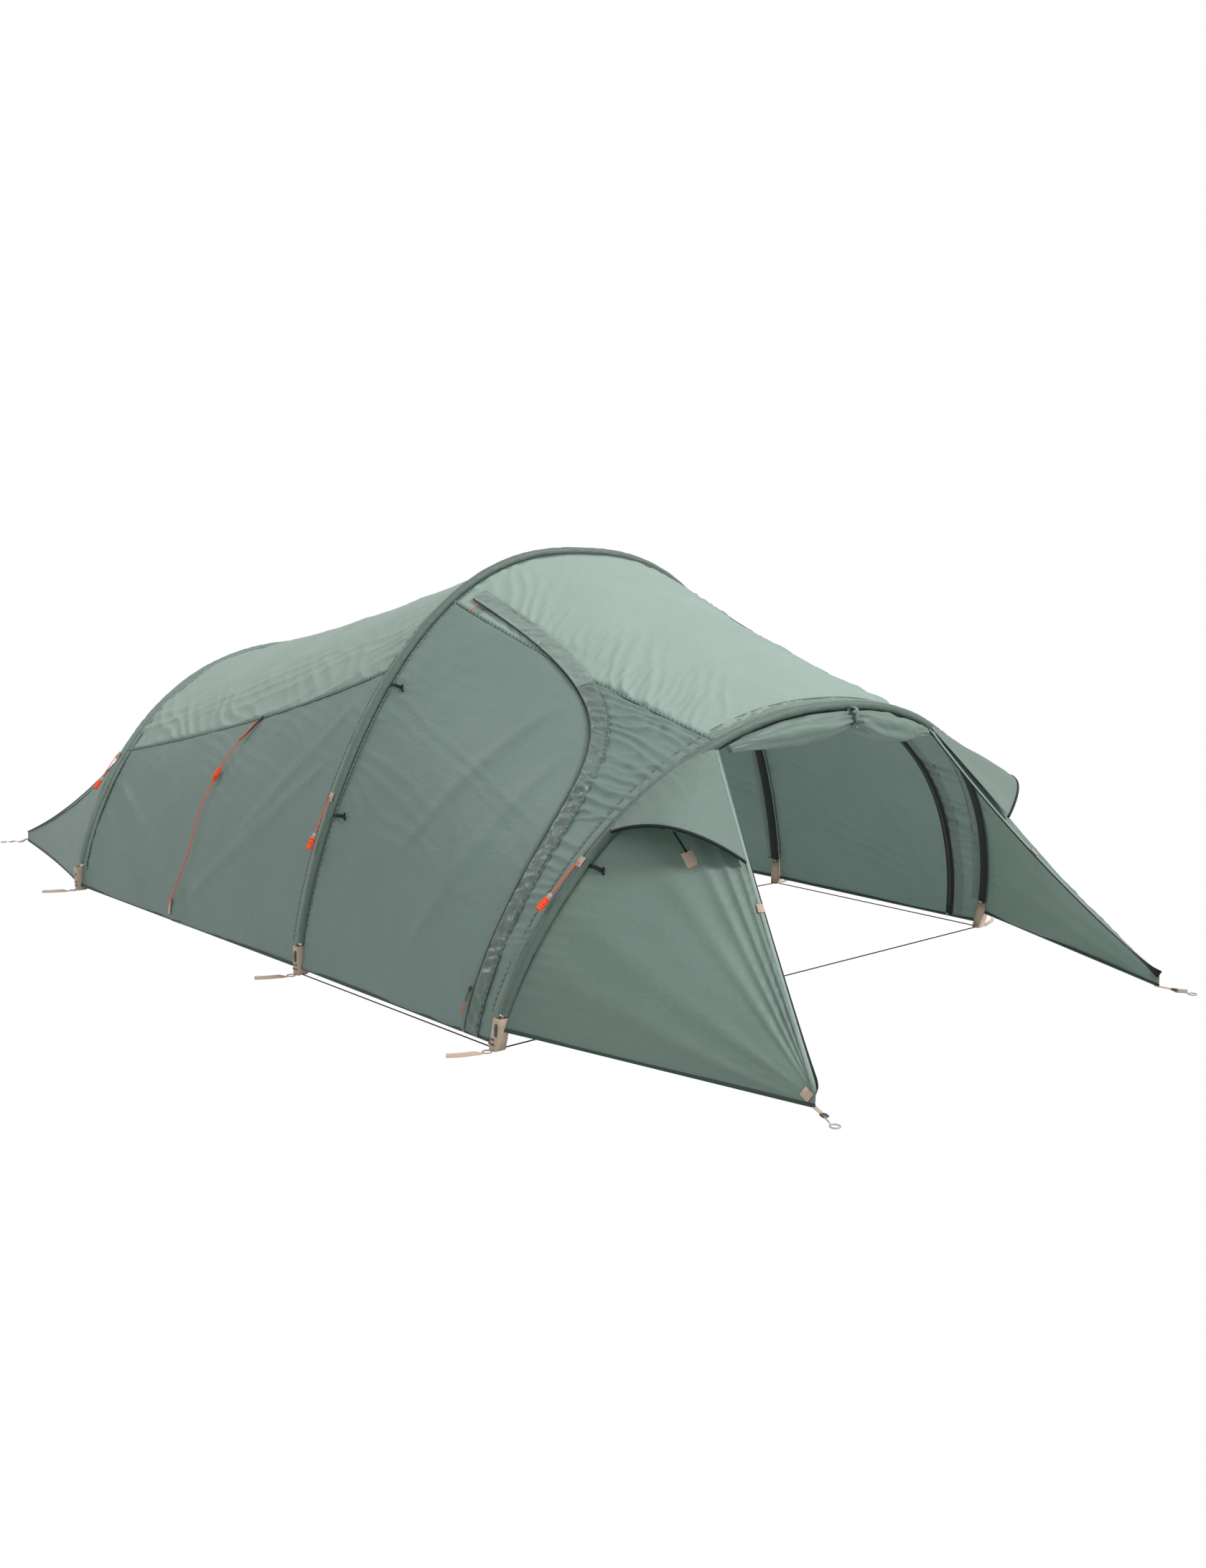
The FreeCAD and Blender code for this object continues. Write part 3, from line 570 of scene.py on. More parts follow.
def band_weave(name, code, rough=0.75, rib=0.0022, stitch=None):
    """Narrow woven tape or braid: matt, with ribs across it 1 mm apart, drawn at 2.2 mm so
    that they show, and stitches of a second colour where it has them."""
    made, tree, end = blank(name)
    place = node(tree, "TexCoord").outputs["UV"]
    ribs = node(tree, "TexWave", {"Vector": place, "Scale": 1 / (rib * 6.283) * 1.0,
                                  "Distortion": 0.6, "Detail": 1.0}, bands_direction="DIAGONAL")
    worn = node(tree, "TexNoise", {"Vector": place, "Scale": 60.0, "Detail": 3.0})
    colour = node(tree, "Mix", {"Factor": ribs.outputs["Fac"], "A": shade(code, 0.82),
                                "B": shade(stitch or code, 1.12)}, data_type="RGBA")
    soft = node(tree, "Mix", {"Factor": worn.outputs["Fac"], "A": colour.outputs["Result"],
                              "B": shade(code, 1.0)}, data_type="RGBA")
    bump = node(tree, "Bump", {"Height": ribs.outputs["Fac"], "Strength": 0.5,
                               "Distance": 0.0005})
    face = node(tree, "BsdfPrincipled", {
        "Base Color": soft.outputs["Result"], "Normal": bump.outputs[0], "Roughness": rough,
        "Specular IOR Level": 0.25})
    tree.links.new(face.outputs[0], end.inputs["Surface"])
    return made


def moulded(name, code, rough=0.42, metal=0.0):
    """Moulded acetal or drawn and anodised tube: even, with a fine grain and soft gloss."""
    made, tree, end = blank(name)
    place = node(tree, "TexCoord").outputs["Object"]
    grain = node(tree, "TexNoise", {"Vector": place, "Scale": 400.0, "Detail": 2.0})
    mottle = node(tree, "Mix", {"Factor": grain.outputs["Fac"], "A": shade(code, 0.9),
                                "B": shade(code, 1.1)}, data_type="RGBA")
    bump = node(tree, "Bump", {"Height": grain.outputs["Fac"], "Strength": 0.12,
                               "Distance": 0.0004})
    face = node(tree, "BsdfPrincipled", {
        "Base Color": mottle.outputs["Result"], "Normal": bump.outputs[0],
        "Roughness": rough, "Metallic": metal})
    tree.links.new(face.outputs[0], end.inputs["Surface"])
    return made


class TentColours(bpy.types.PropertyGroup):
    """Colours of the cloth, cords and fittings."""
    # The two roof colours are the wall cloth painted lighter: painted light from the overhead sun
    # on cloth that faces up.
    roof: bpy.props.StringProperty(name="Roof", description="Roof cloth", default="#84958D")
    front_roof: bpy.props.StringProperty(name="Front roof",
                                         description="Roof cloth ahead of the tallest hoop",
                                         default="#8C9C95")
    wall: bpy.props.StringProperty(name="Walls", description="Side cloth", default="#6E7F79")
    front: bpy.props.StringProperty(name="Front", description="Wings, hoods and rolled door",
                                    default="#6E7F78")
    # The three sleeve colours are one cloth painted lighter or darker by where light falls: painted
    # light on the rear sleeve, painted shade on the front one.
    sleeve: bpy.props.StringProperty(name="Sleeves", description="Tallest hoop's sleeve",
                                     default="#4E5D56")
    front_sleeve: bpy.props.StringProperty(name="Front sleeve", description="Front sleeve",
                                           default="#485750")
    rear_sleeve: bpy.props.StringProperty(name="Rear sleeve", description="Rear sleeve",
                                          default="#606F68")
    # The storm flap is one cloth: its top, lying over the roof, is painted lighter and its leg
    # painted darker, as painted light and painted shade.
    flap_high: bpy.props.StringProperty(name="Upper flap", description="Storm flap's top",
                                        default="#6A7872")
    flap_low: bpy.props.StringProperty(name="Lower flap", description="Storm flap's leg",
                                       default="#55635D")
    binding: bpy.props.StringProperty(name="Binding", description="Hem binding", default="#2E3D36")
    tape: bpy.props.StringProperty(name="Dark tape", description="Bindings and zips",
                                   default="#0C1713")
    webbing: bpy.props.StringProperty(name="Webbing", description="Feet and straps",
                                      default="#A08F7E")
    cord: bpy.props.StringProperty(name="Guy cord", description="Braided guys", default="#E04A1A")
    ground: bpy.props.StringProperty(name="Ground cord", description="Base cords",
                                     default="#3A2C22")
    plastic: bpy.props.StringProperty(name="Fittings", description="Buckles, sliders",
                                      default="#2B2F2D")
    ring: bpy.props.StringProperty(name="Rings", description="Peg rings", default="#8E8A84")
    pole: bpy.props.StringProperty(name="Poles", description="Pole tube", default="#B9BDBE")


class TentSizes(bpy.types.PropertyGroup):
    """Sizes that a user may change without moving the frame."""
    cloth: bpy.props.FloatProperty(name="Cloth", description="Thickness of cloth", default=0.0009,
                                   unit="LENGTH")
    binding: bpy.props.FloatProperty(name="Binding", description="Width of hem binding",
                                     default=0.009, unit="LENGTH")
    rise: bpy.props.FloatProperty(name="Folds", description="Height of folds against the usual",
                                  default=1.0)


FINISH = {}


def make_finishes():
    """Every finish once, from the panel's colours."""
    c = bpy.context.scene.tent_colours
    FINISH.update({
        # Roof finishes: the wall cloth painted lighter, painted light on the faces turned up.
        "roof": woven("woven ripstop, roof painted lighter", c.roof),
        "front_roof": woven("woven ripstop, front roof painted lighter", c.front_roof),
        "wall": woven("woven ripstop wall", c.wall),
        "front": woven("woven ripstop front", c.front),
        # Sleeve finishes: one cloth in three tones, painted light and painted shade.
        "sleeve": woven("sleeve cloth, painted middle shade", c.sleeve, 0.08, 0.6),
        "front_sleeve": woven("front sleeve cloth, painted darker", c.front_sleeve, 0.05, 0.6),
        "rear_sleeve": woven("rear sleeve cloth, painted lighter", c.rear_sleeve, 0.08, 0.6),
        # Flap finishes: one cloth, painted lighter on top and darker on the leg.
        "flap_high": woven("crinkled coated flap cloth, painted lighter top", c.flap_high, 0.12, 0.34, 0.005),
        "flap_low": woven("crinkled coated flap cloth, painted darker leg", c.flap_low, 0.12, 0.34, 0.005),
        "tape": band_weave("woven dark tape", c.tape, 0.7),
        "binding": band_weave("woven hem binding", c.binding, 0.7),
        # The seam's colour is the front sleeve's, which carries painted shade.
        "thread": band_weave("sewn seam", c.front_sleeve, 0.7, 0.004, c.wall),
        "webbing": band_weave("woven webbing", c.webbing, 0.8),
        "cord": band_weave("braided polyester guy cord", c.cord, 0.6, 0.003),
        "ground": band_weave("braided base cord", c.ground, 0.7, 0.003),
        "plastic": moulded("moulded acetal", c.plastic),
        "ring": moulded("moulded grey ring", c.ring, 0.5),
        "pole": moulded("anodised aluminium tube", c.pole, 0.3, 1.0),
    })


# ---- helpers for sewn pieces --------------------------------------------------------
def hem_on(skin, s, u):
    """A dark binding folded over an edge of a skin, as wide as the panel's setting."""
    return tape_on(skin, s, u, bpy.context.scene.tent_sizes.binding, 0.0036, -0.0002)


def tape_on(skin, s, u, wide, thick=0.0012, lift=0.001):
    """A tape sewn along a row of shares of a skin, flat on its outer face."""
    p, out = surface_frame(skin, s, u)
    return sweep(p + out * lift, out, flat_profile(wide, thick))


def bend_profile(radius, count, sides, seed, depth):
    """A round section for every step, crinkled by soft noise."""
    turn = np.arange(sides) * 2 * np.pi / sides
    step = np.arange(count)[:, None]
    wave = 1 + depth * lattice(step / 3.1, turn[None] * 2.2, seed)
    ring = np.stack([np.cos(turn), np.sin(turn)], axis=-1)
    return ring[None] * (radius * wave)[..., None]


def straight(a, b, count=12):
    """Equal steps on the straight line from a to b."""
    return mix(np.asarray(a, float), np.asarray(b, float), np.linspace(0, 1, count))


def run_cord(name, points, radius, material, body, nodes,
             with_pieces=()):
    """A cord: one smooth spline through its route's control points."""
    name = free_name(name)
    curve = bpy.data.curves.new(name, "CURVE")
    curve.dimensions = "3D"
    curve.bevel_depth = radius
    curve.bevel_resolution = 3
    curve.use_fill_caps = True
    line = curve.splines.new("NURBS")
    line.points.add(len(points) - 1)
    line.points.foreach_set("co", np.hstack([points, np.ones((len(points), 1))]).ravel())
    line.order_u = 3
    line.use_endpoint_u = True
    line.resolution_u = 12
    curve.materials.append(material)
    piece = bpy.data.objects.new(name, curve)
    bpy.context.scene.collection.objects.link(piece)
    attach(piece, body)
    if nodes:
        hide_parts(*nodes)
    return piece


def guy_points(name):
    """Route of a hoop's short guy: from its patch down to its winder, standing off the leg."""
    top, bottom = {"main": (0.147, 0.116), "front": (0.176, 0.142), "rear": (0.170, 0.138)}[name]
    share = np.array((top, top - (top - bottom) * 0.48, bottom))
    run = unit(hoop(name, share + 1e-3) - hoop(name, share - 1e-3))
    out = unit(np.cross(run, FORE))
    out = out * np.where(out[:, 1:2] > 0, -1, 1)
    lift = np.array((0.019, 0.022, 0.026))[:, None]
    back = np.array((0.003, 0.007, 0.009))[:, None]
    return hoop(name, share) + out * lift - FORE * back


# The long side guy on the rear wall: shares from the rear to the main hoop, and up the hoops.
MIDDLE_UPPER = np.array([(0.560, 0.222), (0.545, 0.208), (0.528, 0.195), (0.516, 0.181),
                         (0.509, 0.168)])
MIDDLE_LOWER = np.array([
    (0.504, 0.152), (0.500, 0.137), (0.497, 0.122), (0.501, 0.107), (0.507, 0.092),
    (0.509, 0.077), (0.504, 0.062), (0.497, 0.047), (0.486, 0.033), (0.470, 0.020)])


def on_wall(shares, lift=0.013):
    """Points standing off the rear side wall."""
    p, out = surface_frame(rear_skin, shares[:, 0], shares[:, 1])
    return p + out * lift


def zip_frames(count, low=0.020):
    """Points of the zip, the skin's normal, the way across the zip and the way along it."""
    s, u = zip_shares(count, low)
    p, out = surface_frame(vestibule_skin, s, u)
    run = unit(np.gradient(p, axis=0))
    return p, out, unit(np.cross(run, out)), run


# ---- operators ----------------------------------------------------------------------
class TENT_OT_stage(bpy.types.Operator):
    """White floor, white sky, a soft sun and the camera"""
    bl_idname = "tent.stage"
    bl_label = "Stage"

    def execute(self, context):
        scene = context.scene
        scene.view_settings.view_transform = "Standard"
        world = bpy.data.worlds.new("studio")
        world.use_nodes = True
        world.node_tree.nodes["Background"].inputs["Color"].default_value = (1, 1, 1, 1)
        world.node_tree.nodes["Background"].inputs["Strength"].default_value = 1.0
        scene.world = world
        az, el, roll = math.radians(CAMERA_TURN), math.radians(CAMERA_RISE), CAMERA_LEAN
        back = np.array((math.sin(az) * math.cos(el), -math.cos(az) * math.cos(el), math.sin(el)))
        right = unit(np.cross(-back, UP))
        up = np.cross(right, -back)
        right, up = (math.cos(roll) * right + math.sin(roll) * up,
                     math.cos(roll) * up - math.sin(roll) * right)
        lens = bpy.data.cameras.new("camera")
        lens.sensor_fit = "AUTO"
        lens.sensor_width = 36.0
        lens.lens = CAMERA_LENS
        camera = bpy.data.objects.new("camera", lens)
        turn = Matrix([list(row) for row in np.column_stack([right, up, back])]).to_4x4()
        turn.translation = CAMERA_AT
        camera.matrix_world = turn
        scene.collection.objects.link(camera)
        scene.camera = camera
        for name, (power, wide, toward) in SUNS.items():
            sun = bpy.data.lights.new(name, "SUN")
            sun.energy = power
            sun.angle = math.radians(wide)
            lamp = bpy.data.objects.new(name, sun)
            light = unit(np.array(toward))
            side = unit(np.cross(UP, light))
            columns = np.column_stack([side, np.cross(light, side), light])
            lamp.matrix_world = Matrix([list(row) for row in columns]).to_4x4()
            scene.collection.objects.link(lamp)
        grid = np.stack(np.meshgrid((-FLOOR, FLOOR), (-FLOOR, FLOOR), indexing="ij"), axis=-1)
        mesh = bpy.data.meshes.new("floor")
        mesh.from_pydata([(x, y, -0.002) for x, y in grid.reshape(-1, 2)], [], [(0, 2, 3, 1)])
        floor = bpy.data.objects.new("floor", mesh)
        scene.collection.objects.link(floor)
        made, tree, end = blank("matt white studio floor")
        lit = node(tree, "Emission", {"Color": (1, 1, 1, 1), "Strength": 1.0})
        tree.links.new(lit.outputs[0], end.inputs["Surface"])
        mesh.materials.append(made)
        return {"FINISHED"}


class TENT_OT_cords(bpy.types.Operator):
    """Base cords between the feet, and the guys with their winders and hanks"""
    bl_idname = "tent.cords"
    bl_label = "Cords"

    def execute(self, context):
        make_finishes()
        gap = 0.0238
        for name, size in HOOPS.items():
            y = size[1] - gap
            line = np.array([(size[0], k, GROUND_R) for k in (-y, -y + 0.02, 0, y - 0.02, y)])
            run_cord(name + "_cross_cord", line, GROUND_R, FINISH["ground"],
                     "tent", [name + "_cross_cord"])
        start, end = np.array((0.4553, -0.994, GROUND_R)), np.array((1.3127, -0.979, GROUND_R))
        line = mix(start, end, (0, 0.025, 0.5, 0.975, 1))
        for side, sign in SIDES:
            flip = np.array((1, sign, 1))
            run_cord(side + "_side_cord", line * flip, GROUND_R, FINISH["ground"],
                     "tent", [side + "_side_cord"])
            for name in HOOPS:
                points = guy_points(name) * flip
                body = f"{side}_{name}_guy"
                run_cord(f"{side}_{name}_guy_cord", points, CORD_R, FINISH["cord"],
                         body, [f"{side}_{name}_guy_cord"],
                         with_pieces=[self.winder(side, name, points, body)])
            upper, lower = on_wall(MIDDLE_UPPER) * flip, on_wall(MIDDLE_LOWER) * flip
            hank = self.hank(side + "_middle_hank", upper[-1], lower[0], 0.0075, "tent",
                             ["middle_hanks"])
            run_cord(side + "_middle_upper", upper, CORD_R, FINISH["cord"], "tent",
                     [side + "_middle_cord"], with_pieces=[hank])
            run_cord(side + "_middle_lower", lower, CORD_R, FINISH["cord"], "tent",
                     [side + "_middle_cord"])
        return {"FINISHED"}

    def hank(self, name, a, b, radius, body, nodes, turns=7):
        """Folded cord: long loops fanned round the line a to b, and a wrap at its middle."""
        way = unit(b - a)
        square = unit(np.cross(way, (0.3, 0.2, 1.0)))
        other = np.cross(way, square)
        long = np.linalg.norm(b - a)
        turn = round_turn(40)
        parts = []
        for k in range(turns):
            lean = k * 2.4
            out = square * math.cos(lean) + other * math.sin(lean)
            off = radius * (0.35 + 0.4 * ((k * 5) % turns) / turns)
            half = long * (0.44 + 0.05 * math.sin(k * 1.7))
            line = (a + b) / 2 + way * (half * np.cos(turn))[:, None]
            line = line + out * (off * np.sin(turn))[:, None] + other * (0.002 * math.sin(k))
            parts.append(sweep(line, np.cross(way, out), round_profile(CORD_R, 7), loop=True))
        for k in range(5):
            ring = radius * 0.85 * (square * np.cos(turn)[:, None] + other * np.sin(turn)[:, None])
            at = (a + b) / 2 + way * ((k - 2) * 0.0028)
            parts.append(sweep(at + ring, way, round_profile(CORD_R, 7), loop=True))
        return put(name, parts, FINISH["cord"], body, nodes)

    def winder(self, side, name, points, body):
        """A cleat with the spare cord wound on it."""
        way = unit(points[2] - points[1])
        start = points[2] + way * 0.014
        square = unit(np.cross(way, FORE))
        other = np.cross(way, square)
        turn = round_turn(32)
        parts = []
        for k in range(13):
            wide = 0.0085 - 0.0012 * ((k * 7) % 5) / 4
            tilt = 0.0016 * math.sin(2.3 * k)
            ring = (start + way * (0.002 + k * 0.0026) + other * (wide * np.cos(turn))[:, None]
                    + square * (0.0055 * np.sin(turn))[:, None]
                    + way * (tilt * np.cos(turn))[:, None])
            parts.append(sweep(ring, way, round_profile(0.0018, 7), loop=True))
        piece = put(f"{side}_{name}_hank", parts, FINISH["cord"], body,
                    [f"{side}_{name}_winder"])
        line = straight(points[2] - way * 0.001, points[2] + way * 0.050, 12)
        swell = [0.6, 1.0, 1.0, 0.8, 0.7, 0.7, 0.7, 0.7, 0.8, 1.0, 1.0, 0.6]
        cleat = sweep(line, square, flat_profile(0.0150, 0.0040), scale=swell)
        put(f"{side}_{name}_cleat", [cleat], FINISH["ring"], body,
            [f"{side}_{name}_winder"])
        return piece


class TENT_OT_hoops(bpy.types.Operator):
    """Pole finish, and the sleeves the poles run in"""
    bl_idname = "tent.hoops"
    bl_label = "Hoops and sleeves"

    def execute(self, context):
        for k, (name, size) in enumerate(HOOPS.items()):
            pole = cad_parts[name + "_hoop"]
            pole.data.materials.clear()
            pole.data.materials.append(FINISH["pole"])
            low = share_at(name, 0.090)
            u = np.linspace(low, 1 - low, 520)
            line = hoop(name, u)
            hint = line - np.array((size[0], 0, 0.25 * size[3]))
            ring = bend_profile(SLEEVE_R, len(u), 28, 40 + k, 0.06)
            sleeve = put(name + "_sleeve", [sweep(line, hint, ring)],
                         FINISH[SLEEVE_FINISH[name]],
                         "tent", [name + "_sleeve"])
            sleeve.data.shade_smooth()
            # A dark strip along the inside of each sleeve, seen from inside the tent.
            wide = 0.036 if name == "main" else 0.026
            dark_strip = sweep(line - unit(hint) * 0.0130, -hint, flat_profile(wide, 0.0026))
            put(name + "_sleeve_lining", [dark_strip], FINISH["tape"], "tent")
        parts = []
        for skin, a, b, ends in ((rear_skin, "rear", "main", (0.017, 0.982)),
                                 (vestibule_skin, "main", "front", (0.006, 0.966))):
            for at in ends:
                low = share_at(b, 0.09)
                u = np.linspace(low, 1 - low, 420)
                s = joined(a, b, np.full(u.shape, at))
                parts.append(tape_on(skin, s, u, 0.006, 0.0014, 0.0016))
        put("sleeve_stitching", parts, FINISH["thread"], "tent")
        flanges = []
        for skin, a, b, name, at in ((rear_skin, "rear", "main", "main", 0.9915),
                                     (vestibule_skin, "main", "front", "front", 0.983),
                                     (rear_skin, "rear", "main", "rear", 0.0075)):
            low = share_at(name, 0.09)
            u = np.linspace(low, 1 - low, 420)
            s = joined(a, b, np.full(u.shape, at))
            flanges.append(tape_on(skin, s, u, 0.024, 0.0010, 0.0010))
        # All three flanges take the rear sleeve's finish, which is painted lighter.
        put("sleeve_flanges", flanges, FINISH["rear_sleeve"], "tent")
        return {"FINISHED"}


class TENT_OT_rear(bpy.types.Operator):
    """Roof and walls between the rear and the tallest hoop, with their seams and hems"""
    bl_idname = "tent.rear"
    bl_label = "Rear section"

    def execute(self, context):
        low = share_at("main", HEM_Z)
        gap = 0.0003

        def side_wall(s, v):
            """From sleeve to sleeve along s, and from the hem up to the seam along v."""
            k = joined("rear", "main", s)
            return rear_skin(k, low + (rear_seam(k) - gap - low) * v)

        def roof(s, v):
            """From sleeve to sleeve along s, and from the near seam over to the far one."""
            k = joined("rear", "main", s)
            edge = rear_seam(k) + gap
            return rear_skin(k, edge + (1 - 2 * edge) * v)

        def wall_relief(seed):
            """Broad waves, gathers along hem, seam and sleeves, and four pulls from corners."""
            def rise(a, b, s, v):
                top, wide = b[:, -1:] - b, a[-1:] - a
                out = 0.0036 * rumple(a, b, 0.34, seed, 3)
                out += 0.0026 * puckers(top, a, 0.045, 0.031, seed + 5)
                out += 0.0022 * puckers(a, b, 0.040, 0.036, seed + 6)
                out += 0.0024 * puckers(wide, b, 0.045, 0.034, seed + 7)
                out += 0.0018 * creases(a, b, -14, 0.045, seed + 8, 1.8, 0.0)
                out += 0.0011 * creases(a, b, 58, 0.075, seed + 9, 2.0, -0.1)
                for x0, y0, x1, y1 in ((1.45, 0.62, 0.75, 0.05), (0.05, 0.40, 0.8, 0.06),
                                       (1.47, 0.80, 1.0, 0.30), (0.03, 0.3, 0.5, 0.04)):
                    out += 0.0048 * fold(a, b, (x0, y0), (x1, y1), 0.030)
                return out
            return rise

        def roof_relief(a, b, s, v):
            """Waves and fine crests across, with slanting folds that die away from the seams."""
            wide, top = a[-1:] - a, b[:, -1:] - b
            near = np.minimum(b, top)
            out = 0.0040 * rumple(a, b, 0.24, 71, 4)
            out += 0.0026 * creases(a, b, 84, 0.034, 72, 1.5, 0.05)
            low_band = np.exp(-near / 0.16)
            out += 0.0105 * low_band * creases(a, b, 8, 0.060, 73, 1.8, 0.1)
            out += 0.0080 * low_band * creases(a, b, -40, 0.050, 74, 1.8, 0.0)
            out += 0.0036 * puckers(near, a, 0.060, 0.030, 75)
            out += 0.0040 * puckers(wide, b, 0.075, 0.034, 76)
            out += 0.0028 * puckers(a, b, 0.050, 0.032, 77)
            return out

        s = line_share(200)
        for (side, sign), seed in zip(SIDES, (11, 31)):
            cloth(side + "_rear_wall", side_wall, s, line_share(96), wall_relief(seed),
                  FINISH["wall"], nodes=[side + "_rear_wall"], side=sign,
                  rests_on=["rear_sleeve", "main_sleeve"])
        cloth("rear_roof", roof, line_share(180), line_share(250), roof_relief, FINISH["roof"],
              nodes=["rear_roof"], rests_on=["rear_sleeve", "main_sleeve"])
        k = joined("rear", "main", line_share(160))
        both_sides("rear_seam", [tape_on(rear_skin, k, rear_seam(k), 0.011, 0.0022, 0.0018)],
                   FINISH["thread"], "tent")
        both_sides("rear_hem", [hem_on(rear_skin, k, np.full(k.shape, low + HEM_SHARE))],
                   FINISH["binding"], "tent")
        top, out = surface_frame(rear_skin, np.array((0.56, 0.545, 0.53)),
                                 np.array((0.230, 0.213, 0.199)))
        strap = smooth_line(top + out * np.array((0.003, 0.007, 0.012))[:, None], 24)
        loop_at, _ = surface_frame(rear_skin, np.array((0.47, 0.47)), np.array((0.022, 0.013)))
        tab = straight(loop_at[0] + (0, -0.004, 0.016), loop_at[1] + (0, -0.006, -0.004), 8)
        both_sides("guy_strap", [sweep(strap, out[1], flat_profile(0.010, 0.0018))],
                   FINISH["tape"], "tent")
        both_sides("guy_tab", [sweep(tab, out[1], flat_profile(0.016, 0.0022))],
                   FINISH["webbing"], "tent")
        s, u = np.array((0.525, 0.525)), np.array((0.046, low))
        p, out = surface_frame(rear_skin, s, u)
        patch = sweep(straight(*(p + out * 0.0014)), out[0], flat_profile(0.14, 0.0014),
                      scale=np.linspace(0.06, 1, 12))
        both_sides("hem_patch", [patch], FINISH["thread"], "tent")
        return {"FINISHED"}


class TENT_OT_tail(bpy.types.Operator):
    """The low sloping end behind the rear hoop"""
    bl_idname = "tent.tail"
    bl_label = "Tail"

    def execute(self, context):
        low = share_at("rear", HEM_Z) / TAIL_SEAM
        edge = TAIL_SEAM + 0.0008

        def back(s, v):
            """The sloping end, from the sleeve to the hem along s, seam to seam along v."""
            return tail_back(tail_share(s), edge + (1 - 2 * edge) * v)

        def side_wall(s, v):
            """The triangle at its side, from the sleeve to the peg along s, hem to seam along v."""
            return tail_side(tail_share(s), low + (0.995 - low) * v)

        def back_relief(a, b, s, v):
            """Broad waves, gathers at seams and sleeve, and folds down the middle."""
            near = np.minimum(b, b[:, -1:] - b)
            out = 0.0034 * rumple(a, b, 0.26, 91, 3)
            out += 0.0032 * puckers(near, a, 0.05, 0.032, 92)
            out += 0.0034 * puckers(a, b, 0.06, 0.034, 93)
            out += 0.0050 * (1 - np.abs(2 * v - 1)) * creases(a, b, 4, 0.085, 94, 1.6, 0.1)
            return out

        def side_relief(seed):
            """Waves, gathers at the sleeve, and folds that grow towards the peg."""
            return lambda a, b, s, v: (0.0026 * rumple(a, b, 0.20, seed, 3)
                                       + 0.0028 * puckers(a, b, 0.05, 0.030, seed + 3)
                                       + 0.0030 * s * creases(a, b, 10, 0.06, seed + 4))

        cloth("tail_roof", back, line_share(120), line_share(180), back_relief, FINISH["roof"],
              nodes=["tail_roof"], rests_on=["rear_sleeve"])
        for (side, sign), seed in zip(SIDES, (101, 121)):
            cloth(side + "_tail_wall", side_wall, line_share(150), line_share(70),
                  side_relief(seed), FINISH["wall"], nodes=[side + "_tail_wall"], side=sign,
                  rests_on=["rear_sleeve"])
        s = tail_share(line_share(120))
        u = np.full(s.shape, TAIL_SEAM + 0.0004)
        both_sides("tail_seam", [tape_on(tail_back, s, u, 0.010, 0.0022, 0.0016)],
                   FINISH["thread"], "tent")
        both_sides("tail_side_hem", [hem_on(tail_side, s, np.full(s.shape, low + 0.006))],
                   FINISH["binding"], "tent")
        u = np.linspace(TAIL_SEAM, 1 - TAIL_SEAM, 140)
        put("tail_hem", [hem_on(tail_back, np.full(u.shape, 0.989), u)],
            FINISH["binding"], "tent")
        return {"FINISHED"}


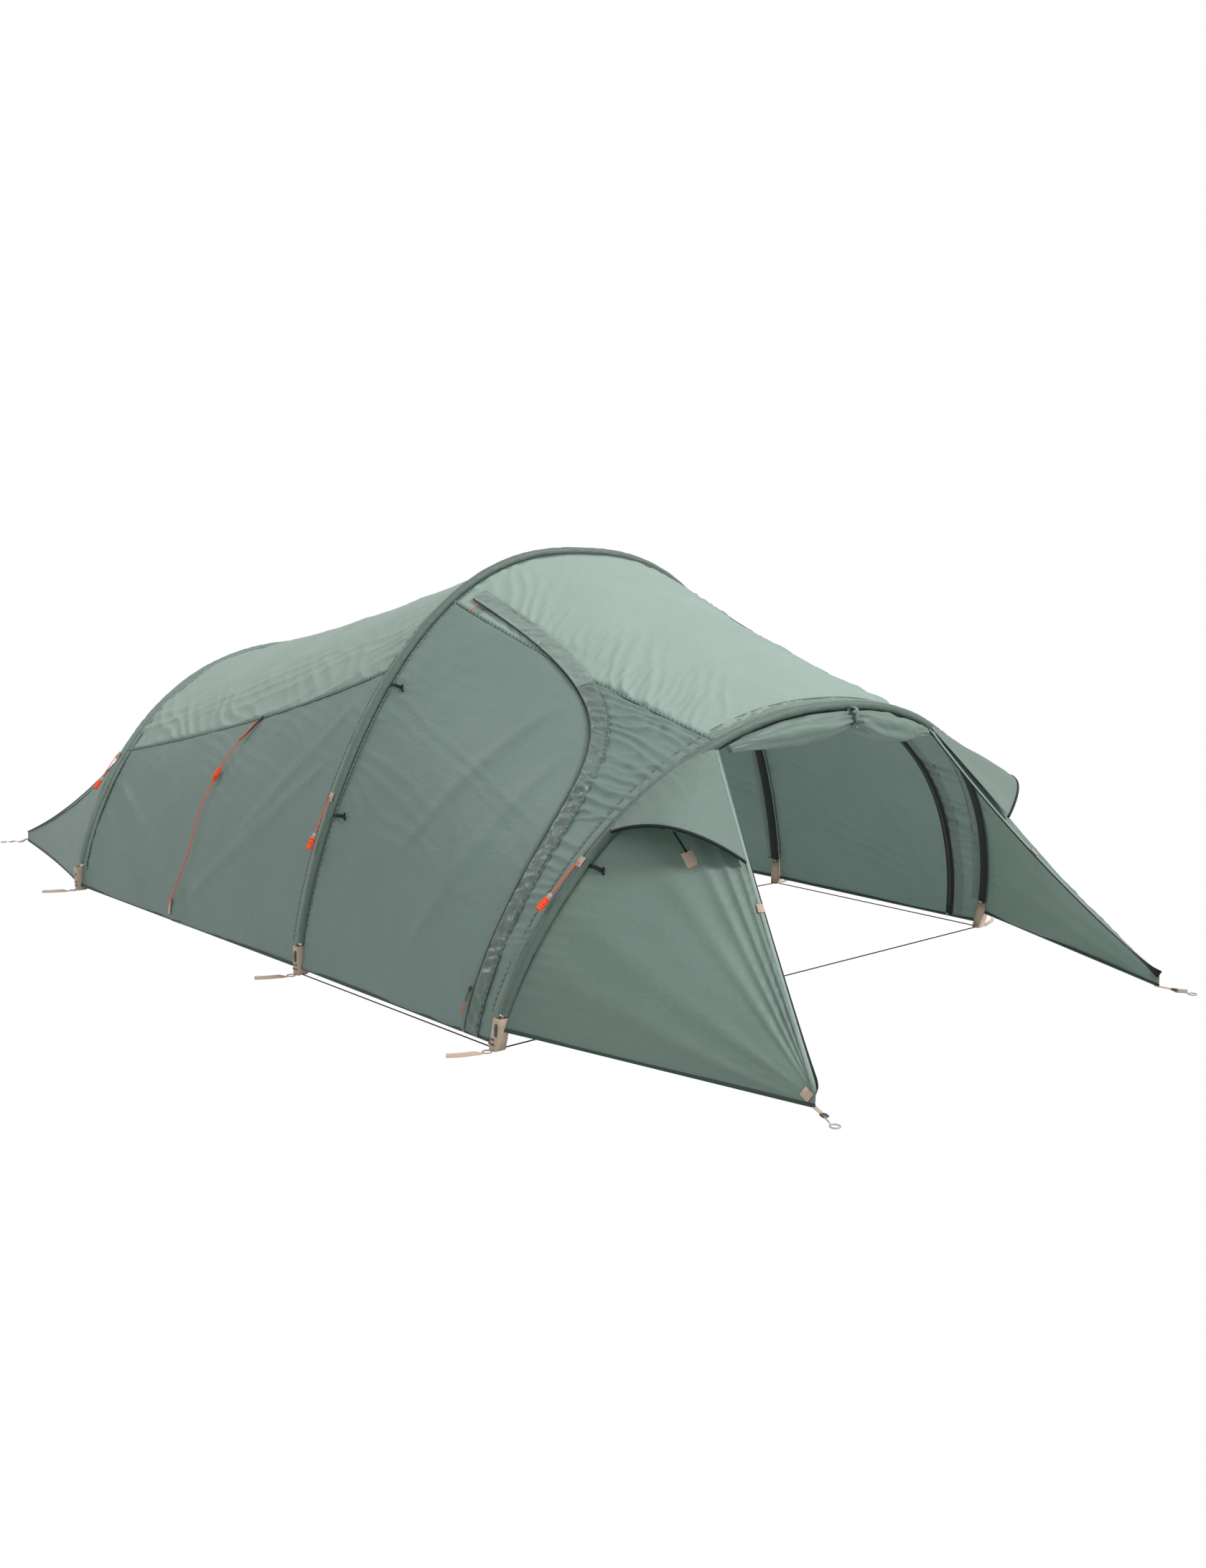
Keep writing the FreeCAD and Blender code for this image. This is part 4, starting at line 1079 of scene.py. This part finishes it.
class TENT_OT_vestibule(bpy.types.Operator):
    """Roof, side doors and side strips ahead of the tallest hoop"""
    bl_idname = "tent.vestibule"
    bl_label = "Vestibule"

    def execute(self, context):
        low = share_at("main", HEM_Z)
        top = ROOF_EDGE - 0.0005
        split = 0.0022 / ((HOOPS["front"][0] - HOOPS["main"][0]) * PANEL_RUN)

        def door(s, v):
            """From the tallest hoop's sleeve to the zip along s, from hem to seam along v."""
            u = low + (top - low) * v
            start = joined("main", "front", 0.0)
            return vestibule_skin(start + (zip_share(u) - split - start) * s, u)

        def strip(s, v):
            """From the zip to the front sleeve along s, from hem to seam along v."""
            u = low + (top - low) * v
            start = zip_share(u) + split
            return vestibule_skin(start + (joined("main", "front", 1.0) - start) * s, u)

        def roof(s, v):
            """From sleeve to sleeve along s, and from the near seam over to the far one."""
            return vestibule_skin(joined("main", "front", s),
                                  ROOF_EDGE + (1 - 2 * ROOF_EDGE) * v)

        def roof_relief(a, b, s, v):
            """Slanting folds fanned out from the seams, calmed under the flap and the sleeve."""
            near, wide = np.minimum(b, b[:, -1:] - b), a[-1:] - a
            half = b[:, -1:].max() / 2
            face = np.where(b < half, b, 2 * half - b)
            out = 0.0016 * rumple(a, b, 0.16, 131, 4)
            band = np.exp(-np.maximum(near - 0.02, 0) / 0.17)
            out += 0.0115 * band * creases(a, face, 128, 0.046, 132, 1.7, 0.25)
            out += 0.0070 * band * creases(a, face, 112, 0.029, 133, 1.7, 0.1)
            out += 0.0040 * np.exp(-a / 0.10) * creases(a, face, 150, 0.05, 134, 1.6, 0.2)
            out += 0.0046 * puckers(near, a, 0.050, 0.028, 135)
            out += 0.0024 * puckers(wide, b, 0.045, 0.030, 136)
            out *= 1 - 0.8 * fade((0.085 - near) / 0.03) * fade((0.62 - s) / 0.10)
            return out * fade(wide / 0.035)

        def door_relief(seed):
            """Broad waves, gathers at hem and seam, and two folds down from the upper corner."""
            def rise(a, b, s, v):
                up = b[:, -1:] - b
                out = 0.0032 * rumple(a, b, 0.30, seed, 3)
                out += 0.0015 * creases(a, b, -20, 0.050, seed + 8, 1.8, 0.0)
                out += 0.0028 * puckers(up, a, 0.060, 0.042, seed + 4)
                out += 0.0026 * puckers(a, b, 0.045, 0.036, seed + 5)
                out += 0.0020 * fade(1.3 * s) * creases(a, b, 118, 0.10, seed + 6, 1.9, 0.0)
                out += 0.0048 * fold(a, b, (0.60, 0.95), (0.30, 0.35), 0.028)
                out += 0.0040 * fold(a, b, (0.72, 0.80), (0.45, 0.10), 0.034)
                return out
            return rise

        def strip_relief(seed):
            """Close folds across the strip, flatter near the ground."""
            def rise(a, b, s, v):
                out = 0.0022 * rumple(a, b, 0.12, seed, 3)
                fan = 0.25 + 0.75 * fade((v - 0.15) / 0.3)
                out += 0.0062 * fan * creases(a, b, -7, 0.043, seed + 4, 1.5, 0.35)
                out += 0.0034 * fan * creases(a, b, 12, 0.026, seed + 5, 1.5, 0.1)
                return out
            return rise

        cloth("vestibule_roof", roof, line_share(180), line_share(220), roof_relief,
              FINISH["front_roof"], nodes=["vestibule_roof"],
              rests_on=["main_sleeve", "front_sleeve"])
        for (side, sign), seed in zip(SIDES, (141, 161)):
            panel = cloth(side + "_door", door, line_share(130), line_share(150),
                          door_relief(seed), FINISH["wall"], nodes=[side + "_door"], side=sign,
                          rests_on=["main_sleeve"])
            cloth(side + "_door_strip", strip, line_share(90), line_share(240),
                  strip_relief(seed + 9), FINISH["wall"], nodes=[side + "_door_strip"],
                  side=sign, rests_on=["front_sleeve"])
            u = np.full(90, low + HEM_SHARE)
            s = joined("main", "front", zip_share(u) * line_share(90) - 0.006 * line_share(90))
            hem = hem_on(vestibule_skin, s, u)
            hem = put(side + "_door_hem", [hem if sign > 0 else mirror_part(hem)],
                      FINISH["binding"], "tent")
            for piece in (panel, hem):
                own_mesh(piece)
        u = np.full(30, low + HEM_SHARE)
        s = joined("main", "front", zip_share(u) + 0.01
                   + (0.985 - zip_share(u)) * line_share(30))
        both_sides("strip_hem", [hem_on(vestibule_skin, s, u)],
                   FINISH["binding"], "tent")
        s = joined("main", "front", line_share(110))
        both_sides("roof_seam", [tape_on(vestibule_skin, s, np.full(s.shape, ROOF_EDGE), 0.009,
                                         0.0022, 0.0018)], FINISH["thread"], "tent")
        loops = []
        for name, s0, s1, v0, v1 in (("v", 0.020, 0.066, 0.252, 0.254),
                                     ("v", 0.020, 0.070, 0.134, 0.137),
                                     ("w", 0.013, 0.066, 0.492, 0.511)):
            skin = vestibule_skin if name == "v" else wing
            p, out = surface_frame(skin, np.array((s0, (s0 + s1) / 2, s1)),
                                   np.array((v0, (v0 + v1) / 2, v1)))
            arc = smooth_line(p + out * np.array((0.004, 0.013, 0.005))[:, None], 20)
            loops.append(sweep(arc, out[1], flat_profile(0.010, 0.0018)))
            pin = straight(arc[-1] - UP * 0.011, arc[-1] + UP * 0.011, 8)
            loops.append(sweep(pin, out[1], round_profile(0.0032),
                               scale=[.5, 1, 1, .7, .7, 1, 1, .5]))
        both_sides("tie_back_loops", loops, FINISH["tape"], "tent")
        return {"FINISHED"}


class TENT_OT_trim(bpy.types.Operator):
    """Storm flaps over the zips, zip tape and coil, and the sliders with their pulls"""
    bl_idname = "tent.trim"
    bl_label = "Zips and storm flaps"

    def execute(self, context):
        p, out, across, _ = zip_frames(500, 0.008)
        far = walked(p) / walked(p)[-1]

        def at(table, t):
            """A row of values along the zip, read at the share t of its length."""
            return np.stack([np.interp(t, far, table[:, k]) for k in range(3)], axis=-1)

        def flap(t, w):
            """Along the zip by t and 50 mm away from the door by w, higher over the roof."""
            base = at(p, t) + at(across, t) * (0.001 + 0.050 * w)[..., None]
            rise = 0.0030 * fade((t - 0.58) / 0.10)
            return base + at(out, t) * (0.0062 - 0.0026 * w + rise)[..., None]

        def relief(seed):
            """Two crossing sets of short sharp creases over small waves."""
            def rise(a, b, s, w):
                out_ = 0.0026 * rumple(a, b, 0.035, seed, 3)
                out_ += 0.0050 * creases(a, b, 66, 0.034, seed + 3, 1.2, 0.3)
                out_ += 0.0044 * creases(a, b, -60, 0.040, seed + 4, 1.2, 0.2)
                return out_ - 0.0012
            return rise

        split = 0.655
        for (side, sign), seed in zip(SIDES, (181, 191)):
            # The flap's leg takes the darker copy and its part over the roof the lighter one:
            # painted shade and painted light.
            cloth(side + "_storm_flap", flap, np.linspace(0.0, split, 420), line_share(22),
                  relief(seed), FINISH["flap_low"], "dark_fabric", [side + "_storm_flap"], sign)
            cloth(side + "_storm_flap_top", flap, np.linspace(split - 0.004, 1.0, 230),
                  line_share(22), relief(seed + 5), FINISH["flap_high"], "dark_fabric",
                  [side + "_storm_flap"], sign, lift=0.0006)
        welts = []
        for wide in (0.0505, 0.0440):
            line = p + across * wide + out * 0.0044
            welts.append(sweep(line[::2], out[::2], flat_profile(0.0024, 0.0022)))
        # A dark strip along the flap's free edge: painted shadow of the gap under the flap.
        line = p + across * 0.0015 + out * 0.0060
        both_sides("flap_edge_painted_shadow", [sweep(line[::2], out[::2], flat_profile(0.0044, 0.0026))],
                   FINISH["binding"], "tent")
        both_sides("flap_edges", welts, FINISH["thread"], "tent")
        under = p - out * 0.0032
        tape = sweep(under[::2], out[::2], flat_profile(0.026, 0.0009))
        both_sides("zip_tape", [tape], FINISH["tape"], "tent", ["side_zips"])
        q, square, side_way, way = zip_frames(330)
        q = q - square * 0.0046
        cube = np.array([(i, j, k) for i in (-1, 1) for j in (-1, 1) for k in (-1, 1)], float)
        size = np.array((0.0012, 0.0030, 0.0008))
        corners = cube * size
        shift = np.where(np.arange(len(q)) % 2, 0.0012, -0.0012)[:, None]
        base = q + side_way * shift
        points = (base[:, None] + way[:, None] * corners[:, 0:1] + side_way[:, None]
                  * corners[:, 1:2] + square[:, None] * corners[:, 2:3])
        faces = np.array([(0, 1, 3, 2), (4, 6, 7, 5), (0, 4, 5, 1), (2, 3, 7, 6), (0, 2, 6, 4),
                          (1, 5, 7, 3)])
        if volume(points[0], faces, []) < 0:
            faces = faces[:, ::-1]
        all_faces = (np.arange(len(q))[:, None, None] * 8 + faces).reshape(-1, 4)
        teeth = (points.reshape(-1, 3), all_faces, [], points.reshape(-1, 3)[:, :2])
        both_sides("zip_teeth", [teeth], FINISH["plastic"], "tent", ["side_zips"], False)
        self.sliders()
        return {"FINISHED"}

    def sliders(self):
        """Slider bodies from the frame's own frames: first and later points of the zip."""
        p, out, across, _ = zip_frames(25)
        for name, first, other in (("low", 1, 3), ("high", -2, -9)):
            way = unit(p[other] - p[first])
            square = unit(out[first] - way * np.dot(way, out[first]))
            side_way = np.cross(square, way)
            at = p[first] - across[first] * 0.009 + square * 0.007
            shell = straight(at - way * 0.007 + square * 0.0025,
                             at + way * 0.007 + square * 0.0025, 10)
            swell = [0.55, 0.8, 0.95, 1, 1, 1, 1, 0.95, 0.85, 0.6]
            parts = [sweep(shell, square, flat_profile(0.010, 0.0048), scale=swell)]
            bridge = smooth_line([at + way * 0.005 + square * 0.004, at + square * 0.0062,
                                  at - way * 0.006 + square * 0.004], 12)
            parts.append(sweep(bridge, square, flat_profile(0.003, 0.0012)))
            turn = round_turn(32)
            tab = (at - way * 0.020 + square * 0.0022 + way * (0.0125 * np.cos(turn))[:, None]
                   + side_way * (0.0032 * np.sin(turn))[:, None])
            parts.append(sweep(tab, square, flat_profile(0.0018, 0.0018), loop=True))
            both_sides(f"{name}_slider", parts, FINISH["plastic"], f"%_{name}_slider",
                       [f"%_{name}_slider"])
            tip = at - way * 0.0325 + square * 0.0022
            down = unit(-UP + square * square[2])
            if name == "high":
                down = unit(down - FORE * 0.4)
            pull = np.array([tip, tip + down * 0.010 + square * 0.0016,
                             tip + down * 0.022 + side_way * 0.0016 + square * 0.001,
                             tip + down * 0.034])
            for side, sign in SIDES:
                flip = np.array((1, sign, 1))
                run_cord(f"{side}_{name}_pull_cord", pull * flip, 0.0012, FINISH["cord"],
                         f"{side}_{name}_slider", ())


class TENT_OT_wings(bpy.types.Operator):
    """Front wings, vent hoods over them and the hoods' props"""
    bl_idname = "tent.wings"
    bl_label = "Wings and vent hoods"

    def execute(self, context):
        first = 0.0165

        def panel(s, v):
            """The wing from its sleeve to its peg along s, from hem to door edge along v."""
            return wing(first + (1 - first) * s, v)

        def across_hood(a):
            """a squeezed so that the hood stops short of the hoop's leg and of the wing's edge."""
            return 0.06 + 0.91 * a

        def cover(a, b):
            """The hood across by a, and from the sleeve to its stiff hem by b."""
            return hood(across_hood(a), b)

        def wing_relief(seed):
            """Waves, long ribs that gather towards the door edge, and folds beside it."""
            def rise(a, b, s, v):
                room = fade((1 - s) / 0.25)
                out = 0.0030 * room * rumple(a, b, 0.22, seed, 3)
                for at, high, wide in ((0.15, 4, .050), (0.40, 5, .060), (0.66, 9, .045),
                                       (0.79, 9, .026), (0.88, 10, .016), (0.945, 8, .010)):
                    bent = at + 0.06 * np.sin(2.6 * s + 9 * at) * (1 - at)
                    out += (0.0006 * high * room * fade(s / 0.25 + 0.2)
                            * np.exp(-((v - bent) / wide) ** 2))
                edge = np.exp(-(1 - v) / 0.16)
                out += 0.0055 * room * edge * fade((s - 0.25) / 0.3) * creases(
                    a, b, 35, 0.046, seed + 5, 1.6, 0.2)
                out += 0.0030 * puckers(a, b, 0.05, 0.034, seed + 6)
                return out
            return rise

        def hood_relief(seed):
            """Waves, folds that leave the sleeve, and gathers at the two ends."""
            return lambda a, b, s, w: (0.0022 * rumple(a, b, 0.10, seed, 3)
                                       + 0.0030 * (1 - w) * creases(a, b, 90, 0.05, seed + 3)
                                       + 0.0030 * puckers(b, a, 0.03, 0.030, seed + 4))

        plane = wing(np.array(PROP_AT[0]), np.array(PROP_AT[1]))
        for (side, sign), seed in zip(SIDES, (201, 221)):
            cloth(side + "_wing", panel, line_share(180), line_share(130), wing_relief(seed),
                  FINISH["front"], nodes=[side + "_wing"], side=sign, rests_on=["front_sleeve"])
            top = cloth(side + "_vent_hood", cover, line_share(120), line_share(60),
                        hood_relief(seed + 9), FINISH["front"], nodes=[side + "_vent_hood"],
                        side=sign, rests_on=["front_sleeve"])
            line = hood(across_hood(line_share(120)), np.ones(120))
            rim = sweep(line, HOOD_OUT, flat_profile(0.007, 0.0036))
            under = sweep(line - HOOD_OUT * 0.004, HOOD_OUT, flat_profile(0.007, 0.0022))
            middle = hood(np.array((0.46, 0.54)), np.array((0.985, 0.985))) - HOOD_OUT * 0.0040
            tab = sweep(straight(middle[0], middle[1], 8), HOOD_OUT, flat_profile(0.012, 0.0016))
            rim_parts, tab_parts = [rim, under], [tab]
            if sign < 0:
                rim_parts = [mirror_part(part) for part in rim_parts]
                tab_parts = [mirror_part(part) for part in tab_parts]
            rim = put(side + "_hood_rim", rim_parts, FINISH["tape"], "tent")
            tab = put(side + "_hood_tab", tab_parts, FINISH["webbing"], "tent")
            for piece in (top, rim, tab):
                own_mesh(piece)
        foot = plane + HOOD_OUT * 0.006
        head = hood(np.array(0.5), np.array(1.0)) - HOOD_OUT * 0.006
        way = unit(head - foot)
        parts = []
        across = unit(np.cross(way, HOOD_OUT))
        for off in (-0.0016, 0.0016):
            line = straight(foot + across * off, head - way * 0.004 + across * off, 24)
            parts.append(sweep(line, HOOD_OUT, flat_profile(0.0024, 0.0034)))
        parts.append(sweep(straight(foot - way * 0.003, foot + way * 0.004, 8), HOOD_OUT,
                           flat_profile(0.0072, 0.0052), scale=[.6, .9, 1, 1, 1, 1, .9, .6]))
        both_sides("vent_prop", parts, FINISH["tape"], "%_vent", ["%_vent_prop"])
        s, v = np.array((PROP_AT[0], PROP_AT[0] + 0.05)), np.full(2, PROP_AT[1])
        p, out = surface_frame(wing, s, v)
        velcro = sweep(straight(*(p + out * 0.002)), out[0], flat_profile(0.030, 0.0018))
        s = first + (1 - first) * line_share(160)
        hem = hem_on(wing, s, np.full(160, 0.006))
        facing = tape_on(wing, s, np.full(160, 0.988), 0.010, 0.0040, 0)
        both_sides("wing_hem", [hem], FINISH["binding"], "tent")
        under = tape_on(wing, s, np.full(160, 0.985), 0.022, 0.0014, -0.0030)
        both_sides("wing_door_tape", [under], FINISH["tape"], "tent")
        # The facing reuses the front roof finish, which is the cloth painted lighter.
        both_sides("wing_facing", [facing], FINISH["front_roof"], "tent")
        both_sides("velcro_patch", [velcro], FINISH["webbing"], "tent")
        p, out = surface_frame(wing, np.array((0.481, 0.505)), np.array((0.984, 0.984)))
        tag = sweep(straight(*(p + out * 0.0034)), out[0], flat_profile(0.016, 0.0014))
        p, out = surface_frame(wing, np.array((0.955, 0.985)), np.array((0.40, 0.35)))
        corner = sweep(straight(*(p + out * 0.0020)), out[0], flat_profile(0.022, 0.0016))
        both_sides("corner_patches", [tag, corner], FINISH["webbing"], "tent")
        return {"FINISHED"}


class TENT_OT_roll(bpy.types.Operator):
    """The front door rolled up in two bundles under the front hoop, tie and toggle"""
    bl_idname = "tent.roll"
    bl_label = "Rolled front door"

    def execute(self, context):
        near = self.bundle(ROLL[0] + 0.001, ROLL[1] - 0.003, (11, 24, 33, 36, 34, 23), 241)
        far = self.bundle(ROLL[1] + 0.003, ROLL[2] - 0.001, (22, 36, 41, 38, 25, 12), 242)
        for name, part, body in (("rolled_door_near", near, 0.3), ("rolled_door_far", far, 0.4)):
            piece = put(name, [part], FINISH["front"], "tent", ["rolled_door"])
        x, y, z = hoop("front", np.array(ROLL[1]))
        x = x + SLEEVE_R + 0.0006 + 0.038
        z = z - 0.040
        back = x - 0.038 - 0.0022
        strap = smooth_line([(back, y, z + 0.016), (back + 0.004, y, z + 0.036),
                             (x - 0.020, y, z + 0.038), (x - 0.008, y, z + 0.030),
                             (x - 0.0068, y, z + 0.004), (x - 0.0068, y, z - 0.016)], 60)
        put("door_tie", [sweep(strap, (1, 0, 0.6), flat_profile(0.013, 0.0018))],
            FINISH["front"], "tent", ["door_tie"])
        line = straight((x, y - 0.017, z), (x, y + 0.017, z), 14)
        swell = [0.5, .85, 1, 1, 1, .9, .62, .62, .9, 1, 1, 1, .85, 0.5]
        put("toggle", [sweep(line, FORE, round_profile(0.0044, 20), scale=swell)],
            FINISH["plastic"], "tie_toggle", ["tie_toggle"])
        return {"FINISHED"}

    def bundle(self, low, high, radii, seed):
        """A spiral section with lengthwise folds, its radius drawn smoothly along the hoop."""
        count, sides = 170, 150
        u = np.linspace(low, high, count)
        top = hoop("front", u)
        way = unit(np.gradient(top, axis=0))
        down = unit(np.cross(way, (1.0, 0.0, 0.22)))
        down = down * np.where(down[:, 2:] > 0, -1, 1)
        radius = smooth_line([(r / 1000, 0, 0) for r in radii], count)[:, 0] * 0.93
        at = top + down * (SLEEVE_R + 0.002 + radius)[:, None] + FORE * 0.008
        turn = np.arange(sides) / sides
        run = walked(top)[:, None]
        spiral = 0.90 + 0.10 * ((turn[None] + 0.30 + 0.5 * run) % 1.0)
        folds = 0.085 * np.cos(2 * np.pi * (turn[None] * 5 + 1.2 * run
                                            + 0.35 * lattice(run / 0.12, turn[None] * 3, seed)))
        fine = 0.06 * lattice(run / 0.06, turn[None] * 14, seed + 1)
        tight = 0.13 * np.exp(-np.minimum(run, run[-1] - run) / 0.05)
        knots = tight * np.cos(2 * np.pi * turn[None] * 9 + 3 * lattice(run / 0.05, 0.2, seed + 2))
        ring = np.stack([np.cos(2 * np.pi * turn), np.sin(2 * np.pi * turn)], axis=-1)
        wide = radius[:, None] * (spiral + folds + fine + knots) * 1.03
        return sweep(at, down, ring[None] * wide[..., None])


class TENT_OT_feet(bpy.types.Operator):
    """Webbing pockets, peg rings, tensioning tails, stake straps and buckles"""
    bl_idname = "tent.feet"
    bl_label = "Feet and stake points"

    def execute(self, context):
        for name, size in HOOPS.items():
            x, y = size[0], 0.006 - size[1]
            top = hoop(name, np.array(share_at(name, 0.084)))
            lean = np.array(((top[0] - x) / 0.084, 0, 1.0))
            square = np.array([(-1, -1), (0, -1.04), (1, -1), (1.04, 0), (1, 1), (0, 1.04),
                               (-1, 1), (-1.04, 0)]) * (0.0125, 0.0165)
            rings = []
            for z, share in ((0.0006, 0.96), (0.03, 1.0), (0.06, 0.98), (0.0835, 1.0),
                             (0.0835, 0.87), (0.045, 0.84), (0.004, 0.84)):
                centre = np.array((x, y, 0)) + lean * z
                rings.append(np.column_stack([centre[0] + square[:, 0] * share,
                                              centre[1] + square[:, 1] * share,
                                              np.full(8, z)]))
            pocket = solid_grid(np.array(rings))
            ring_y = y - 0.017 - 0.013
            ring = self.peg_ring(np.array((x, ring_y, 0)))
            tail_y = ring_y - 0.0135
            k = np.linspace(0, 1, 40)
            tail = np.column_stack([x - 0.030 * k ** 2, tail_y - 0.083 * k,
                                    0.0012 + 0.0038 * fade(3 * k)])
            loop = straight((x, ring_y + 0.010, 0.0042), (x, y - 0.012, 0.006), 8)
            bars = [sweep(straight((x - 0.010, y - 0.0178, z), (x + 0.010, y - 0.0178, z), 6),
                          (0, -1, 0), flat_profile(0.0040, 0.0026)) for z in (0.018, 0.030)]
            shift = hoop(name, np.array(share_at(name, 0.070))) - (0, 0.0168, 0)
            hook = sweep(smooth_line([shift, shift + (0.003, -0.004, -0.012),
                                      shift + (0.0, -0.002, -0.030)], 14), (0, -1, 0),
                         flat_profile(0.010, 0.003))
            both_sides(name + "_pocket", [pocket], FINISH["webbing"], "tent",
                       [name + "_feet"])
            both_sides(name + "_ring", [ring], FINISH["ring"], "tent",
                       [name + "_feet"])
            twist = UP + FORE * (1.3 * fade(3 * k))[:, None]
            both_sides(name + "_tail", [sweep(tail, twist, flat_profile(0.011, 0.0018)),
                                        sweep(loop, UP, flat_profile(0.012, 0.0018))],
                       FINISH["webbing"], "tent", [name + "_feet"])
            both_sides(name + "_hook", [hook] + bars, FINISH["plastic"], "tent",
                       [name + "_feet"])
        apex = np.array((WING_STAKE[0], -WING_STAKE[1], 0))
        side_way = np.cross(UP, WING_WAY)
        strap = apex + WING_WAY * np.linspace(-0.012, 0.030, 16)[:, None]
        strap = strap + UP * np.linspace(0.012, 0.0088, 16)[:, None]
        k = np.linspace(0, 1, 36)
        tail = (apex + WING_WAY * (0.036 + 0.037 * k)[:, None] + side_way * (-0.006 * k)[:, None]
                + UP * (0.0050 - 0.0038 * fade(3 * k))[:, None])
        leaning = UP + side_way * (1.6 * fade(2 * k))[:, None]
        tail = tail + UP * (0.0045 * fade(2 * k))[:, None]
        both_sides("wing_strap", [sweep(strap, UP, flat_profile(0.011, 0.0020)),
                                  sweep(tail, leaning, flat_profile(0.011, 0.0018))],
                   FINISH["webbing"], "tent", ["wing_straps"])
        both_sides("wing_ring", [self.peg_ring(apex + WING_WAY * 0.086)], FINISH["ring"], "tent",
                   ["wing_straps"])
        middle = apex + WING_WAY * 0.040 + UP * 0.008
        turn = round_turn(40)
        frame_line = middle + (WING_WAY * (np.sign(np.cos(turn)) * np.abs(np.cos(turn)) ** 0.4
                                           * 0.0080)[:, None]
                               + side_way * (np.sign(np.sin(turn)) * np.abs(np.sin(turn)) ** 0.4
                                             * 0.0068)[:, None])
        parts = [sweep(frame_line, UP, flat_profile(0.0034, 0.0040), loop=True)]
        for off in (0.0, 0.0045):
            bar = straight(middle + WING_WAY * off - side_way * 0.0065,
                           middle + WING_WAY * off + side_way * 0.0065, 6)
            parts.append(sweep(bar, UP, flat_profile(0.0024, 0.0036)))
        both_sides("buckle", parts, FINISH["plastic"], "%_buckle", ["%_buckle"])
        corner = np.array((TAIL_STAKE[0], -TAIL_STAKE[1], 0))
        k = np.linspace(0, 1, 50)
        web = corner + TAIL_WAY * (-0.004 + 0.084 * k)[:, None]
        web = web + UP * (0.012 * (1 - fade(3 * k)) + 0.0014 + 0.003 * np.sin(7 * k) ** 2)[:, None]
        twist = UP + np.cross(UP, TAIL_WAY) * (0.7 * np.sin(6 * k))[:, None]
        both_sides("tail_strap", [sweep(web, twist, flat_profile(0.011, 0.0018))],
                   FINISH["webbing"], "tent", ["tail_straps"])
        both_sides("tail_ring", [self.peg_ring(corner + TAIL_WAY * 0.096)], FINISH["ring"],
                   "tent", ["tail_straps"])
        patches = []
        for name in HOOPS:
            start = guy_points(name)[0]
            leg = hoop(name, np.array({"main": 0.147, "front": 0.178, "rear": 0.170}[name]))
            out = unit(start - leg)
            along = unit(hoop(name, 0.2) - hoop(name, 0.12))
            web = smooth_line([leg + out * 0.0150 - along * 0.012, leg + out * 0.0158,
                               leg + out * 0.0150 + along * 0.014], 18)
            patches.append(sweep(web, out, flat_profile(0.024, 0.0020)))
        both_sides("guy_patches", patches, FINISH["webbing"], "tent")
        return {"FINISHED"}

    def peg_ring(self, centre):
        """The flat ring a peg goes through, lying on the ground round a centre."""
        turn = round_turn(40)
        circle = np.stack([np.cos(turn), np.sin(turn), 0 * turn], axis=-1)
        return sweep(centre + UP * 0.0016 + circle * RING_R, UP, flat_profile(0.0038, 0.0030),
                     loop=True)


class TENT_PT_panel(bpy.types.Panel):
    """Every step of the tent in the order it is made"""
    bl_idname = "TENT_PT_panel"
    bl_label = "Tunnel tent"
    bl_space_type = "VIEW_3D"
    bl_region_type = "UI"
    bl_category = "Tent"

    def draw(self, context):
        for key in TentColours.__annotations__:
            self.layout.prop(context.scene.tent_colours, key)
        for key in TentSizes.__annotations__:
            self.layout.prop(context.scene.tent_sizes, key)
        for step in STEPS:
            self.layout.operator(step.bl_idname)


STEPS = (TENT_OT_stage, TENT_OT_cords, TENT_OT_hoops, TENT_OT_rear, TENT_OT_tail,
         TENT_OT_vestibule, TENT_OT_trim, TENT_OT_wings, TENT_OT_roll, TENT_OT_feet)
CLASSES = (TentColours, TentSizes) + STEPS + (TENT_PT_panel,)


def register():
    """Adds the classes and the two sets of values to every scene."""
    for kind in CLASSES:
        bpy.utils.register_class(kind)
    bpy.types.Scene.tent_colours = bpy.props.PointerProperty(type=TentColours)
    bpy.types.Scene.tent_sizes = bpy.props.PointerProperty(type=TentSizes)


def unregister():
    """Takes them away again, in the other order."""
    del bpy.types.Scene.tent_colours
    del bpy.types.Scene.tent_sizes
    for kind in reversed(CLASSES):
        bpy.utils.unregister_class(kind)


def main():
    """Every step through its operator."""
    register()
    for step in STEPS:
        group, name = step.bl_idname.split(".")
        getattr(getattr(bpy.ops, group), name)()


if __name__ == "__main__":
    main()
